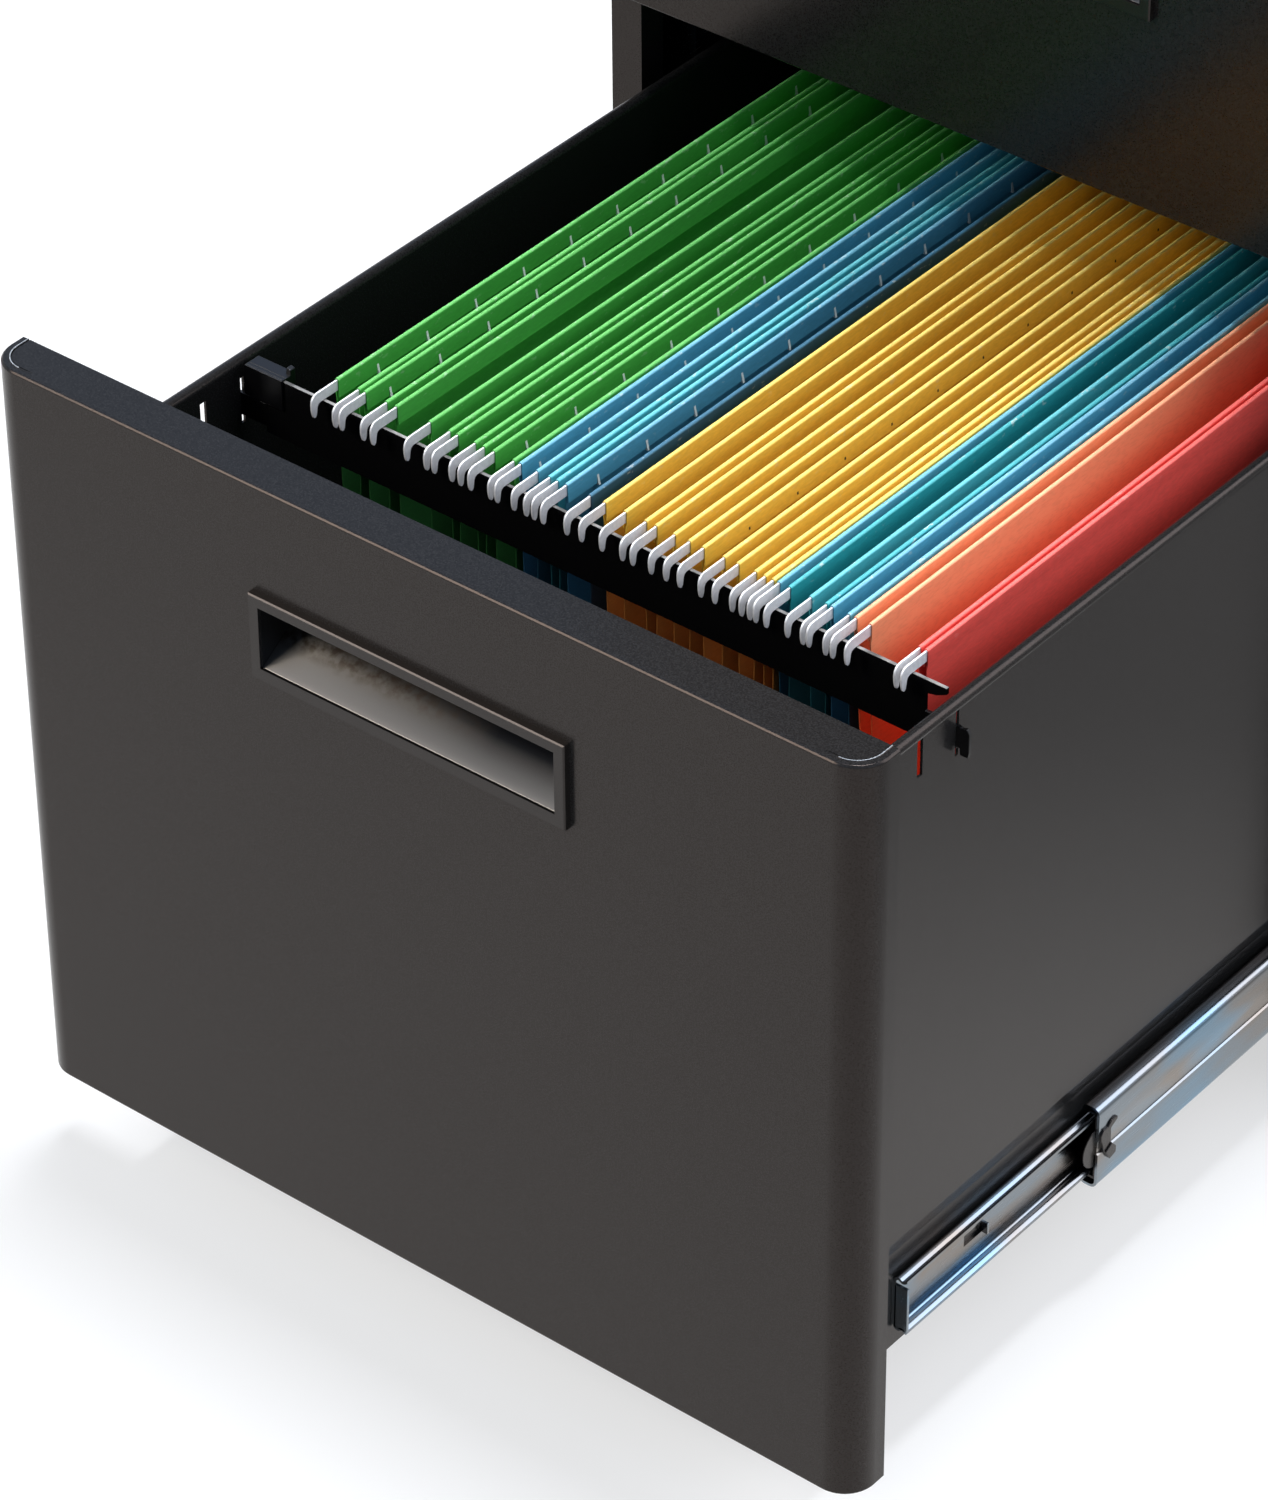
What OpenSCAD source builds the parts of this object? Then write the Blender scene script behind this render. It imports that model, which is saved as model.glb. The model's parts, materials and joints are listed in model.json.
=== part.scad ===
// Pedestal file cabinet with two box drawers over one file drawer.
// The file drawer stands open and holds hanging folders; the box drawers are closed.
// X runs to the right, Y into the cabinet, Z up. Z = 0 is the floor under the glides.

/* [Case] */
// Width of the case and of the drawer fronts
case_w = 381; // [340:1:460]
// Height from the floor to the top
case_h = 705; // [700:1:760]
// Depth of the closed cabinet, from drawer face to back
closed_depth = 490; // [485:1:700]
// Thickness of the case sheet
case_t = 1; // [0.8:0.1:1.4]
// Thickness of the sheet of cap and uprights
heavy_t = 1.2; // [1:0.1:1.6]
// Width of the folded flange beside the drawers
flange_w = 14.5; // [13.6:0.1:20]
// Depth of that flange's return
flange_return = 12; // [6:1:18]
// Height of the top cap
cap_h = 30; // [26:1:40]
// Height of the header rail behind the top drawer front
header_h = 30; // [20:1:34]
// Width of the folded edges that join the panels
fold_w = 14; // [10:1:16]
// Height of the glides under the case
glide_h = 12; // [10:1:20]
// Radius of a glide's foot
glide_r = 17; // [12:1:22]
// Radius of a glide's threaded stem
stem_r = 4; // [3:0.5:6]
// Inset of the glides from front and back
glide_inset = 40; // [30:1:60]
// Height of the counterweight
weight_h = 20; // [10:1:30]
// Depth of the counterweight
weight_d = 80; // [40:1:120]
// Space between the counterweight and the case's sides
weight_side = 50; // [20:1:80]
// Space between the counterweight and the case's back
weight_back = 30; // [10:1:60]
// Height of the lowest front's lower edge above the floor
base_gap = 37; // [32:1:60]

/* [Drawer fronts] */
// Height of a box drawer front
box_front_h = 156.5; // [150:0.5:164]
// Gap between neighbouring fronts
front_gap = 3; // [2:0.5:5]
// Depth of a front, face to back
front_d = 18.5; // [14:0.5:22]
// Radius of a front's upright edges
front_r = 13; // [6:0.5:14]
// Thickness of a front's sheet
front_t = 1.2; // [0.8:0.1:1.6]
// Thickness of the inner liner
liner_t = 1; // [0.8:0.1:1.4]
// Space between a closed front and the case
close_gap = 1; // [0.8:0.1:2]

/* [Pull] */
// Width of the finger opening
pull_w = 130; // [100:1:150]
// Height of the finger opening
pull_h = 25.5; // [22:0.5:30]
// Width of the frame round the opening, sides and top
pull_rim = 4.5; // [4:0.5:8]
// Width of the frame under the opening
pull_rim_low = 5.2; // [5:0.1:8]
// Height that the frame stands proud of the front
pull_proud = 3; // [1:0.5:5]
// Distance from a front's top edge to the frame
pull_drop = 43.3; // [35:0.1:50]
// Depth of the recess behind the face
pull_depth = 25; // [20:1:30]
// Wall of the moulded housing
pull_wall = 1.4; // [1:0.1:1.8]
// Thickness of the plated cup sheet
cup_t = 0.8; // [0.5:0.1:1]
// Rise of the cup's floor for each millimetre of depth
cup_rise = 0.67; // [0.4:0.01:0.8]
// Radius at which the cup turns up behind the frame
cup_turn = 17; // [12:1:20]

/* [Drawer bodies] */
// Length of a drawer body behind its front
body_len = 430; // [425:1:435]
// Thickness of the drawer sheet
body_t = 1; // [0.8:0.1:1.2]
// Height of a body's lower edge above the front's lower edge
body_low = 8.5; // [8:0.5:10]
// Distance of the file drawer's side below its front's top edge
side_drop = 35; // [33:0.5:40]
// Height of a box drawer's side above the front's lower edge
box_side_top = 118; // [115:1:122]
// Distance of the file drawer's back below its front's top edge
back_drop = 66.5; // [62:0.5:110]
// Width of the folds at the sides of that back
back_fold = 12; // [8:0.5:16]
// Height of the folds round the file drawer's bottom
pan_fold = 11; // [8:0.5:14]
// Width of the rolled top edge
bead_w = 4.8; // [4:0.1:5]
// Distance of the rolled edge's middle outside the drawer side
bead_out = 1.4; // [0.5:0.1:1.8]
// Depth of the step above the slide
jog = 1.2; // [0.8:0.1:1.5]
// Height at which the step begins
jog_z = 53; // [52.5:0.5:58]
// Height of the step
jog_h = 5.2; // [3:0.1:6]

/* [Slides] */
// Thickness of a closed slide, drawer side to upright
slide_t = 12.7; // [12.6:0.1:13.2]
// Length of the case and intermediate members
slide_len = 400; // [380:1:410]
// Length of the drawer member
inner_len = 378; // [360:1:381]
// Height of a slide's centre above the front's lower edge
slide_z = 29; // [29:0.5:30]
// Setback of the case member from the case's front
slide_setback = 24; // [22:1:27]
// Setback of the drawer member from the front's back
inner_setback = 48; // [40:1:48]
// Half height of the drawer member
inner_half = 12.5; // [12:0.1:12.7]
// Half height of the intermediate member
mid_half = 18.7; // [18.5:0.1:19]
// Half height of the case member
outer_half = 22.8; // [22.5:0.1:23.2]
// Sheet of the slides
slide_sheet = 1.2; // [1:0.1:1.3]
// Radius of the balls
ball_r = 2.2; // [1.8:0.1:2.3]
// Length of a ball cage
cage_len = 150; // [80:5:200]
// Number of balls in one row of a cage
ball_count = 8; // [4:1:10]
// Radius of the slide screws
screw_r = 2; // [1.5:0.1:2.2]

/* [Travel] */
// Distance that the file drawer stands open here
file_open = 322; // [200:1:330]
// Share of the file drawer's travel that its intermediate member makes
file_share = 0.585; // [0.5:0.005:0.64]

/* [Filing] */
// Distance from the front's face to the front hanging rail
rail_y = 93; // [85:1:100]
// Distance between the two rails
rail_span = 312; // [300:1:320]
// Distance of the rails' top edge below the front's top edge
rail_drop = 35.8; // [34.8:0.1:38]
// Height of a rail
rail_h = 25; // [22:0.5:28]
// Thickness of a rail
rail_t = 1.5; // [1.2:0.1:2]
// Width of the slots in the drawer sides
slot_w = 2.3; // [2.2:0.1:3]
// Space between the folders' folds and the drawer's bottom
folder_clear = 40.1; // [37:0.1:70]
// Length of a folder between its end edges
folder_len = 298; // [280:1:299]
// Thickness of the folder card
card_t = 0.5; // [0.4:0.05:0.7]
// Height of the hem round a rod
hem_h = 8; // [7:0.5:9]
// Thickness of a hook rod
rod_t = 0.9; // [0.7:0.05:1]

/* [Lock] */
// Distance of the lock's axis from the cabinet's side
lock_in = 45.5; // [44.5:0.5:60]
// Radius of the lock's body
lock_r = 9.5; // [8:0.5:10]
// Radius of the turning plug
plug_r = 7; // [5:0.5:7]
// Radius at which the cam pin turns, and travel of the lock bar
cam_throw = 12; // [10:0.5:12]
// Radius of the cam pin
pin_r = 2.5; // [2:0.1:2.5]
// Thickness of the lock bar
bar_t = 2; // [1.5:0.1:2.2]
// Width of the lock bar
bar_w = 14; // [12:1:15]
// Height of a guide of the lock bar
guide_h = 16; // [10:1:20]
// Height of the lower guide above the file drawer front's lower edge
guide_low = 190; // [120:1:200]
// Distance of the upper guide's lower end below the top front's lower edge
guide_drop = 25; // [20:1:30]

/* [Hidden] */

$fn = 48;
eps = 0.01;
seat = 0.3;       // clearance between neighbouring sheets
run = 0.4;        // clearance between pieces that move past each other
charcoal = "#454140";
charcoal_dark = "#2b2b2e";
zinc = "#a9adb0";
plated = "#9a9793";
black = "#17171a";

// Places in the closed cabinet
file_front_h = case_h - cap_h - 3 * front_gap - 2 * box_front_h - base_gap;
y_back = (file_open + closed_depth + pull_proud) / 2;
y_face = y_back - closed_depth;
y_case = y_face + front_d + close_gap;
case_top = case_h - cap_h;
z_upper = case_top - front_gap - box_front_h;
z_middle = z_upper - front_gap - box_front_h;
z_file = z_middle - front_gap - file_front_h;
pan_z = glide_h + case_t;
kick_top = z_file + body_low - 4;

// Places across the width
half_w = case_w / 2;
in_w = half_w - case_t;                    // inner face of a side panel
open_half = half_w - flange_w;             // half width of the opening
post_x = open_half - 5.7;                  // inner face of an upright
side_x = post_x - slide_t;                 // drawer side at the slide
wall_x = side_x + jog;                     // drawer side above the step
bumper_in = 20;                            // bumpers from a front's edges

// Slide section, measured outwards from the drawer side
inner_reach = 6.2;
cage_web = inner_reach + run;
cage_t = 0.5;
latch_in = 4;
latch_w = 6;
mid_web = cage_web + cage_t + 0.3;
mid_face = mid_web + slide_sheet;
mid_lip = 1.6;
outer_web = slide_t - slide_sheet;
outer_lip = 5.5;
lip_drop = 3;
raceway_r = 2.5;
ball_v = (inner_half + mid_half - slide_sheet) / 2;
ball_u = 4.8;
slide_y = y_case + slide_setback;
inner_y = front_d + inner_setback;

// Uprights and the screws in them
post_w = 40;
post_front = y_case + slide_setback + 2;
post_rear = slide_y + slide_len - post_w - 20;
head_r = 2 * screw_r;
screw_len = slide_sheet + heavy_t + 3;

// Pull, measured from a front's top edge
frame_w = pull_w + 2 * pull_rim;
frame_h = pull_h + pull_rim + pull_rim_low;
open_drop = pull_drop + pull_rim;
hole_in = 0.8;                             // overlap of the frame over the sheet

// Lock
lock_x = half_w - lock_in;
lock_z = case_h - cap_h / 2;
bar_x = post_x - 0.2 - bar_t;
bar_y = y_case + 4;
catch_z = 75;
catch_h = 8;
catch_t = 2;
catch_y = front_d + close_gap + 7.5;
catch_foot = 12;
catch_reach = bar_x - wall_x - 1.3;
lug_reach = 4.8;
head_x = lock_x - cam_throw - pin_r - 4;
slot_play = 2.9;
cam_t = 1.5;
cam_y = y_case + 2;

// File drawer's sides and back
file_side_top = file_front_h - side_drop;
file_back_h = file_front_h - back_drop - body_low - body_t;

// Hanging rails
rail_top = file_front_h - rail_drop;
rod_over = 0.4;                            // rod above the rail's edge
rod_h = 4.3;
hem_play = 0.1;
hem_t = rod_t + 2 * card_t + 2 * hem_play;
clip_w = 18.2;
rod_z = rail_top + rod_over;               // underside of a rod
hem_top = rod_z + rod_h + card_t + 0.2;
tip_reach = 5.5;                           // hook in front of the rail
tip_drop = 5.2;
tip_len = 4;
fold_z = body_low + body_t + folder_clear;
hook_out = 5.5;                            // hook of a rail outside the drawer side
hook_low = rail_top - rail_h + 0.5;
hook_top = hook_low + 11.5;
slot_top = file_side_top - bead_w - 3;
slot_len = 15.5;
spare_y = rail_y - 20.5;                   // spare slot in front of the rail

// Each folder: place of its left rod, distance to its right rod, lean of its fold. These were
// measured in a drawer with this half width inside, and spread with the drawer.
measured_half = 157.8;
spread = (wall_x - body_t) / measured_half;
green_folders = [[-118.5, 10, 0], [-105.5, 10, 0], [-91, 15.5, 0], [-66.5, 3.5, 2],
                 [-55, 4, 1], [-46.5, 9, 0]];
blue_folders = [[-34.5, 7.5, 0], [-21.5, 3.5, 1], [-14, 10.5, 0]];
yellow_folders = [[3, 9, 0], [21, 4.5, 0], [33.5, 6.5, 0], [46, 9, 0], [61, 7.5, 0], [72.5, 3.5, 0]];
teal_folders = [[78.5, 4.5, 3], [92, 6.5, 1], [101, 7, 4]];
orange_folders = [[111, 6, 12]];
red_folders = [[137.5, 2.8, 10]];
all_folders = concat(green_folders, blue_folders, yellow_folders, teal_folders,
                     orange_folders, red_folders);

// Moves a drawer's own frame (face at y = 0, lower edge at z = 0) into place
module in_file() { translate([0, y_face - file_open, z_file]) children(); }
module in_middle() { translate([0, y_face, z_middle]) children(); }
module in_upper() { translate([0, y_face, z_upper]) children(); }

// Draws on the right, or mirrored on the left
module on_side(right) {
    if (right) children();
    else mirror([1, 0, 0]) children();
}
module both_sides() {
    children();
    mirror([1, 0, 0]) children();
}

// Extrudes a section drawn in X and Z along Y
module along_y(y0, len) {
    translate([0, y0 + len, 0]) rotate([90, 0, 0]) linear_extrude(len) children();
}
// Extrudes a section drawn in Y and Z along X, centred
module along_x(w) {
    translate([-w / 2, 0, 0]) rotate([90, 0, 90]) linear_extrude(w) children();
}

// Plan of a box with rounded front corners
module plan(w, d, r) {
    intersection() {
        union() {
            translate([-w / 2, r]) square([w, d]);
            translate([-w / 2 + r, 0]) square([w - 2 * r, d]);
            for (s = [-1, 1]) translate([s * (w / 2 - r), r]) circle(r);
        }
        translate([-w / 2, 0]) square([w, d]);
    }
}

// Case
module side_panel() {
    difference() {
        union() side_panel_sheet();
        back_screw_places() cylinder(r = screw_r + 0.1, h = 8 * case_t, center = true);
    }
}
module side_panel_sheet() {
    translate([in_w, y_case, glide_h]) cube([case_t, y_back - y_case, case_top - glide_h]);
    translate([open_half, y_case, glide_h]) cube([flange_w - case_t / 2, case_t, case_top - glide_h]);
    translate([open_half, y_case, glide_h]) cube([case_t, case_t + flange_return, case_top - glide_h]);
    translate([in_w - fold_w, slide_y, case_top - case_t])
        cube([fold_w + case_t / 2, y_back - slide_y - 3 * case_t, case_t]);
    translate([in_w - fold_w, slide_y, glide_h])
        cube([fold_w + case_t / 2, y_back - slide_y - 3 * case_t, case_t]);
    translate([in_w - fold_w, y_back - 3 * case_t, glide_h])
        cube([fold_w + case_t / 2, case_t, case_top - glide_h]);
}
module top_cap() {
    color(charcoal) difference() {
        translate([0, y_face, case_top]) linear_extrude(cap_h) plan(case_w, closed_depth, front_r);
        translate([0, y_face + heavy_t, case_top - 1]) linear_extrude(cap_h + 1 - heavy_t)
            plan(case_w - 2 * heavy_t, closed_depth - 2 * heavy_t, front_r - heavy_t);
        translate([lock_x, y_face - 1, lock_z]) rotate([-90, 0, 0])
            cylinder(r = lock_r + 0.1, h = heavy_t + 2);
    }
}
module back_panel() {
    color(charcoal_dark) difference() {
        translate([-in_w + seat, y_back - 2 * case_t, glide_h + 0.5])
            cube([2 * (in_w - seat), case_t, case_top - glide_h - 1]);
        back_screw_places() cylinder(r = screw_r + 0.1, h = 8 * case_t, center = true);
    }
}
module back_screw_places() {
    for (s = [-1, 1], f = [0.04, 0.35, 0.65, 0.96])
        translate([s * (in_w - fold_w / 2), y_back - 2 * case_t, glide_h + f * (case_top - glide_h)])
            rotate([90, 0, 0]) children();
}
module screw() {
    translate([0, 0, -case_t]) cylinder(r = head_r, h = case_t);
    translate([0, 0, -eps]) cylinder(r = screw_r, h = screw_len);
}
module screws() {
    color(zinc) {
        back_screw_places() translate([0, 0, -case_t]) screw();
        both_sides() slide_screw_places() translate([0, 0, side_x + outer_web]) screw();
    }
}
module glide_places() {
    for (s = [-1, 1], y = [y_case + glide_inset, y_back - glide_inset])
        translate([s * (half_w - glide_inset + 4.5), y, 0]) children();
}
module base_pan() {
    color(charcoal_dark) difference() {
        union() {
            translate([-open_half + seat, y_case, glide_h])
                cube([2 * (open_half - seat), case_t, kick_top - glide_h]);
            translate([-open_half + seat, y_case, pan_z])
                cube([2 * (open_half - seat), slide_setback, case_t]);
            translate([-in_w + seat, slide_y - case_t, pan_z])
                cube([2 * (in_w - seat), y_back - 3 * case_t - slide_y + case_t, case_t]);
            translate([-in_w + seat, y_back - 4 * case_t, pan_z])
                cube([2 * (in_w - seat), case_t, 2 * fold_w]);
            glide_places() translate([0, 0, pan_z]) cylinder(r = stem_r + 5, h = case_t + 6);
        }
        glide_places() cylinder(r = stem_r + 0.1, h = pan_z + 20);
        back_screw_places() cylinder(r = screw_r + 0.1, h = 12 * case_t, center = true);
    }
}
module header_rail() {
    color(charcoal_dark) {
        translate([-open_half + seat, y_case, case_top - header_h])
            cube([2 * (open_half - seat), case_t, header_h]);
        translate([-wall_x, y_case, case_top - header_h])
            cube([2 * wall_x, case_t + fold_w, case_t]);
    }
}
module slide_screw_places() {
    for (z = [z_file, z_middle, z_upper], y = [post_front + post_w / 2, post_rear + post_w / 2])
        translate([0, y, z + slide_z]) rotate([0, 90, 0]) children();
}
module uprights() {
    color(zinc) both_sides() difference() {
        for (y = [post_front, post_rear]) translate([0, y, pan_z + case_t]) {
            translate([post_x, 0, 0])
                cube([heavy_t, post_w, case_top - pan_z - 2 * case_t]);
            for (leg = [0, post_w - heavy_t]) translate([post_x, leg, 0])
                cube([in_w - post_x, heavy_t, case_top - pan_z - 2 * case_t]);
        }
        slide_screw_places() cylinder(r = screw_r + 0.1, h = post_x + 4);
    }
}
module counterweight() {
    color("#6b6d70") translate([-in_w + weight_side, y_back - weight_back - weight_d, pan_z + case_t])
        cube([2 * (in_w - weight_side), weight_d, weight_h]);
}
module glides() {
    color(black) glide_places() {
        cylinder(r = glide_r, h = 4);
        translate([0, 0, 4 - eps]) cylinder(r1 = glide_r - 1, r2 = stem_r + 3, h = 3);
        translate([0, 0, 6]) cylinder(r = stem_r, h = pan_z + 6);
    }
}
module bumpers() {
    color(black) for (s = [-1, 1], z = [z_file, z_middle, z_upper], up = [bumper_in, box_front_h - bumper_in])
        translate([s * (open_half + flange_w / 2), y_case, z + up])
            rotate([90, 0, 0]) cylinder(r = 4, h = close_gap - 0.2);
}

// Slides
module outer_section() {
    translate([outer_web, -outer_half]) square([slide_sheet, 2 * outer_half]);
    for (s = [0, 1]) mirror([0, s]) {
        translate([outer_lip, outer_half - slide_sheet])
            square([slide_t - outer_lip, slide_sheet]);
        translate([outer_lip, mid_half + run]) square([1, outer_half - mid_half - run]);
    }
}
module mid_section() {
    difference() {
        union() {
            translate([mid_web, -mid_half]) square([slide_sheet - 0.01, 2 * mid_half]);
            for (s = [0, 1]) mirror([0, s]) {
                translate([mid_lip, mid_half - slide_sheet])
                    square([mid_face - raceway_r - mid_lip, slide_sheet]);
                translate([mid_face - raceway_r, mid_half - raceway_r]) circle(raceway_r);
                translate([mid_lip, mid_half - lip_drop]) square([1, lip_drop]);
            }
        }
        translate([0, -mid_half + slide_sheet + 1.3])
            square([mid_web, 2 * (mid_half - slide_sheet - 1.3)]);
        translate([mid_lip + 1, -mid_half + slide_sheet])
            square([mid_web - run - mid_lip - 1, 2 * (mid_half - slide_sheet)]);
        translate([mid_face - 0.4, -4]) square([2, 12]);
    }
}
module inner_section() {
    difference() {
        union() {
            translate([0, -inner_half + raceway_r])
                square([inner_reach, 2 * (inner_half - raceway_r)]);
            translate([0, -inner_half]) square([inner_reach - raceway_r, 2 * inner_half]);
            for (s = [-1, 1])
                translate([inner_reach - raceway_r, s * (inner_half - raceway_r)]) circle(raceway_r);
        }
        translate([slide_sheet, -inner_half + 3.4])
            square([inner_reach, 2 * (inner_half - 3.4)]);
    }
}
module outer_member() {
    color(zinc) difference() {
        along_y(slide_y, slide_len) translate([side_x, slide_z]) outer_section();
        translate([0, 0, -z_file]) slide_screw_places() cylinder(r = screw_r + 0.1, h = case_w);
    }
}
module mid_member(y0) {
    color(zinc) difference() {
        along_y(y0, slide_len) translate([side_x, slide_z]) mid_section();
        translate([side_x + mid_web - 1, y0 + latch_in, slide_z - 5]) cube([4, latch_w, 16]);
    }
}
module file_latches() {
    color(black) both_sides()
        translate([side_x + mid_web + 0.2, slide_y - file_share * file_open + latch_in, z_file + slide_z - 5]) {
            translate([0, 1, 0]) cube([slide_sheet + 0.8, latch_w - 2, 5]);
            translate([0, 1, 5 - eps]) cube([slide_sheet, 1.6, 8]);
            translate([0, 1, 11]) cube([slide_sheet, latch_w - 1, 2]);
        }
}
module inner_member() {
    lance_y = inner_y + 40;
    lance_len = 10.5;
    lance_z = slide_z - 1.7;
    lance_h = 5;
    color(zinc) {
        difference() {
            along_y(inner_y, inner_len) translate([side_x, slide_z]) inner_section();
            translate([side_x - 1, lance_y, lance_z]) cube([slide_sheet + 2, lance_len, lance_h]);
        }
        translate([side_x, inner_y, slide_z - inner_half + 1]) cube([inner_reach, slide_sheet, 2 * inner_half - 5]);
        translate([side_x + slide_sheet - eps, lance_y + lance_len, lance_z]) cube([2.6, 1, lance_h]);
    }
}
module ball_places() {
    for (s = [-1, 1], i = [0 : ball_count - 1])
        translate([side_x + ball_u, slide_y - file_share * file_open + 10 + i * (cage_len - 20) / (ball_count - 1),
                   z_file + slide_z + s * ball_v]) children();
}
module file_cages() {
    color(black) both_sides() difference() {
        along_y(slide_y - file_share * file_open + 1, cage_len) translate([side_x, z_file + slide_z]) {
            translate([cage_web, -ball_v - 0.5]) square([cage_t, 2 * ball_v + 1]);
            for (s = [-1, 1]) translate([mid_lip + 1.3, s * ball_v - 0.5])
                square([cage_web + cage_t - mid_lip - 1.3, 1]);
        }
        ball_places() cylinder(r = ball_r + 0.15, h = 4, center = true);
        ball_places() sphere(ball_r + 0.15);
    }
}
module file_balls() {
    color("#c8cacc") both_sides() ball_places() sphere(ball_r);
}

// Lock
module lock_housing() {
    color("#b9bbbd") translate([lock_x, 0, lock_z]) rotate([-90, 0, 0]) difference() {
        union() {
            translate([0, 0, y_face]) cylinder(r = lock_r, h = cam_y - y_face - 1);
            translate([0, 0, y_face - 1.5]) cylinder(r = lock_r + 2, h = 1.5);
        }
        translate([0, 0, y_face - 3]) cylinder(r = plug_r + 0.08, h = cam_y - y_face + 4);
    }
}
module lock_plug() {
    color("#c2c4c6") translate([lock_x, 0, lock_z]) difference() {
        rotate([-90, 0, 0]) translate([0, 0, y_face - 2]) cylinder(r = plug_r, h = cam_y - y_face + 2);
        translate([-0.7, y_face - 3, -4.5]) cube([1.4, 10, 9]);
    }
}
module lock_cam() {
    color(zinc) translate([lock_x, 0, lock_z]) {
        translate([-cam_throw, cam_y, -pin_r - 2]) cube([cam_throw, cam_t, 2 * pin_r + 4]);
        rotate([-90, 0, 0]) {
            translate([0, 0, cam_y]) cylinder(r = plug_r + 1, h = cam_t);
            translate([-cam_throw, 0, cam_y]) cylinder(r = pin_r + 2, h = cam_t);
            translate([-cam_throw, 0, cam_y]) cylinder(r = pin_r, h = cam_t + 5);
        }
    }
}
module lock_bar() {
    bar_low = z_file + catch_z - 8;
    color(zinc) difference() {
        union() {
            translate([bar_x, bar_y, bar_low]) cube([bar_t, bar_w, lock_z + 10 - bar_low]);
            translate([head_x, bar_y, lock_z - 10]) cube([bar_x + bar_t - head_x, bar_t, 20]);
        }
        translate([lock_x - cam_throw - pin_r - 0.8, bar_y - 1, lock_z - pin_r - slot_play])
            cube([cam_throw + 2 * pin_r + 1.6, bar_t + 2, 2 * (pin_r + slot_play)]);
    }
}
module lock_lugs() {
    color(zinc) for (z = [z_file, z_middle, z_upper])
        translate([bar_x - lug_reach, bar_y, z + catch_z + cam_throw]) cube([lug_reach, 2.5, catch_h]);
}
module lock_bar_guides() {
    color(black) for (z = [z_file + guide_low, z_upper - guide_drop]) difference() {
        translate([bar_x - 1.2, y_case + case_t + 0.2, z])
            cube([open_half - bar_x + 1.2, bar_w + 7, guide_h]);
        translate([bar_x - seat, bar_y - seat, z - 1])
            cube([bar_t + 2 * seat, bar_w + 2 * seat, guide_h + 2]);
    }
}

// Drawer fronts and pulls
module front_skin(h) {
    difference() {
        linear_extrude(h) plan(case_w, front_d, front_r);
        translate([0, front_t, front_t]) linear_extrude(h - 2 * front_t)
            plan(case_w - 2 * front_t, front_d, front_r - front_t);
        translate([-frame_w / 2 + hole_in, -1, h - pull_drop - frame_h + hole_in])
            cube([frame_w - 2 * hole_in, front_t + 2, frame_h - 2 * hole_in]);
    }
}
module front_liner(h) {
    difference() {
        translate([-half_w + front_t, front_d - liner_t, front_t])
            cube([case_w - 2 * front_t, liner_t, h - 2 * front_t]);
        translate([-frame_w / 2 + hole_in, 0, h - pull_drop - frame_h + hole_in])
            cube([frame_w - 2 * hole_in, front_d + 1, frame_h - 2 * hole_in]);
    }
}
module pull_frame(h) {
    top = h - open_drop;
    color(black) difference() {
        union() {
            translate([-frame_w / 2, -pull_proud, h - pull_drop - frame_h])
                cube([frame_w, pull_proud, frame_h]);
            translate([-frame_w / 2 + hole_in + seat, -eps, h - pull_drop - frame_h + hole_in + seat])
                cube([frame_w - 2 * (hole_in + seat), pull_depth, frame_h - 2 * (hole_in + seat)]);
        }
        translate([-pull_w / 2, -pull_proud - 1, top - pull_h])
            cube([pull_w, pull_depth - pull_wall + pull_proud + 1, pull_h]);
        translate([-pull_w / 2, -pull_proud + 1, top - pull_h - cup_t - 1])
            cube([pull_w, pull_depth - pull_wall + pull_proud - 1, pull_h]);
    }
}
// The cup is a bent sheet: a flat lip in front, a floor that rises to the back and turns up
module cup_section() {
    slope = atan(cup_rise);
    y_lip = -pull_proud + 1.1;
    y_ramp = y_lip + 1.6;
    y_end = pull_depth - pull_wall - 0.1 - cup_t;
    y_turn = y_end - cup_turn * (1 - sin(slope));
    z_turn = cup_rise * (y_turn - y_ramp);
    line = concat([[y_lip, 0, 0], [y_ramp - 0.6, 0, 0], [y_ramp, 0.08, slope / 2],
                   [y_ramp + 0.6, cup_rise * 0.6, slope], [y_turn, z_turn, slope]],
                  [for (i = [1 : 8]) let(a = slope + (90 - slope) * i / 8)
                      [y_turn + cup_turn * (sin(a) - sin(slope)),
                       z_turn + cup_turn * (cos(slope) - cos(a)), a]]);
    face = [for (p = line) [p[0], p[1]]];
    under = [for (i = [len(line) - 1 : -1 : 0])
        [line[i][0] + cup_t * sin(line[i][2]), line[i][1] - cup_t * cos(line[i][2])]];
    intersection() {
        polygon(concat(face, under));
        translate([-pull_proud, -pull_h]) square([2 * pull_depth, 2 * pull_h - seat]);
    }
}
module pull_cup(h) {
    color(plated) translate([0, 0, h - open_drop - pull_h]) along_x(pull_w - 0.2) cup_section();
}

// Drawer bodies
module side_section(top) {
    polygon([[side_x - body_t, body_low], [side_x, body_low], [side_x, jog_z],
             [wall_x, jog_z + jog_h], [wall_x, top - bead_w / 2], [wall_x - body_t, top - bead_w / 2],
             [wall_x - body_t, jog_z + jog_h], [side_x - body_t, jog_z]]);
    translate([wall_x + bead_out, top - bead_w / 2]) circle(bead_w / 2);
}
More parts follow.
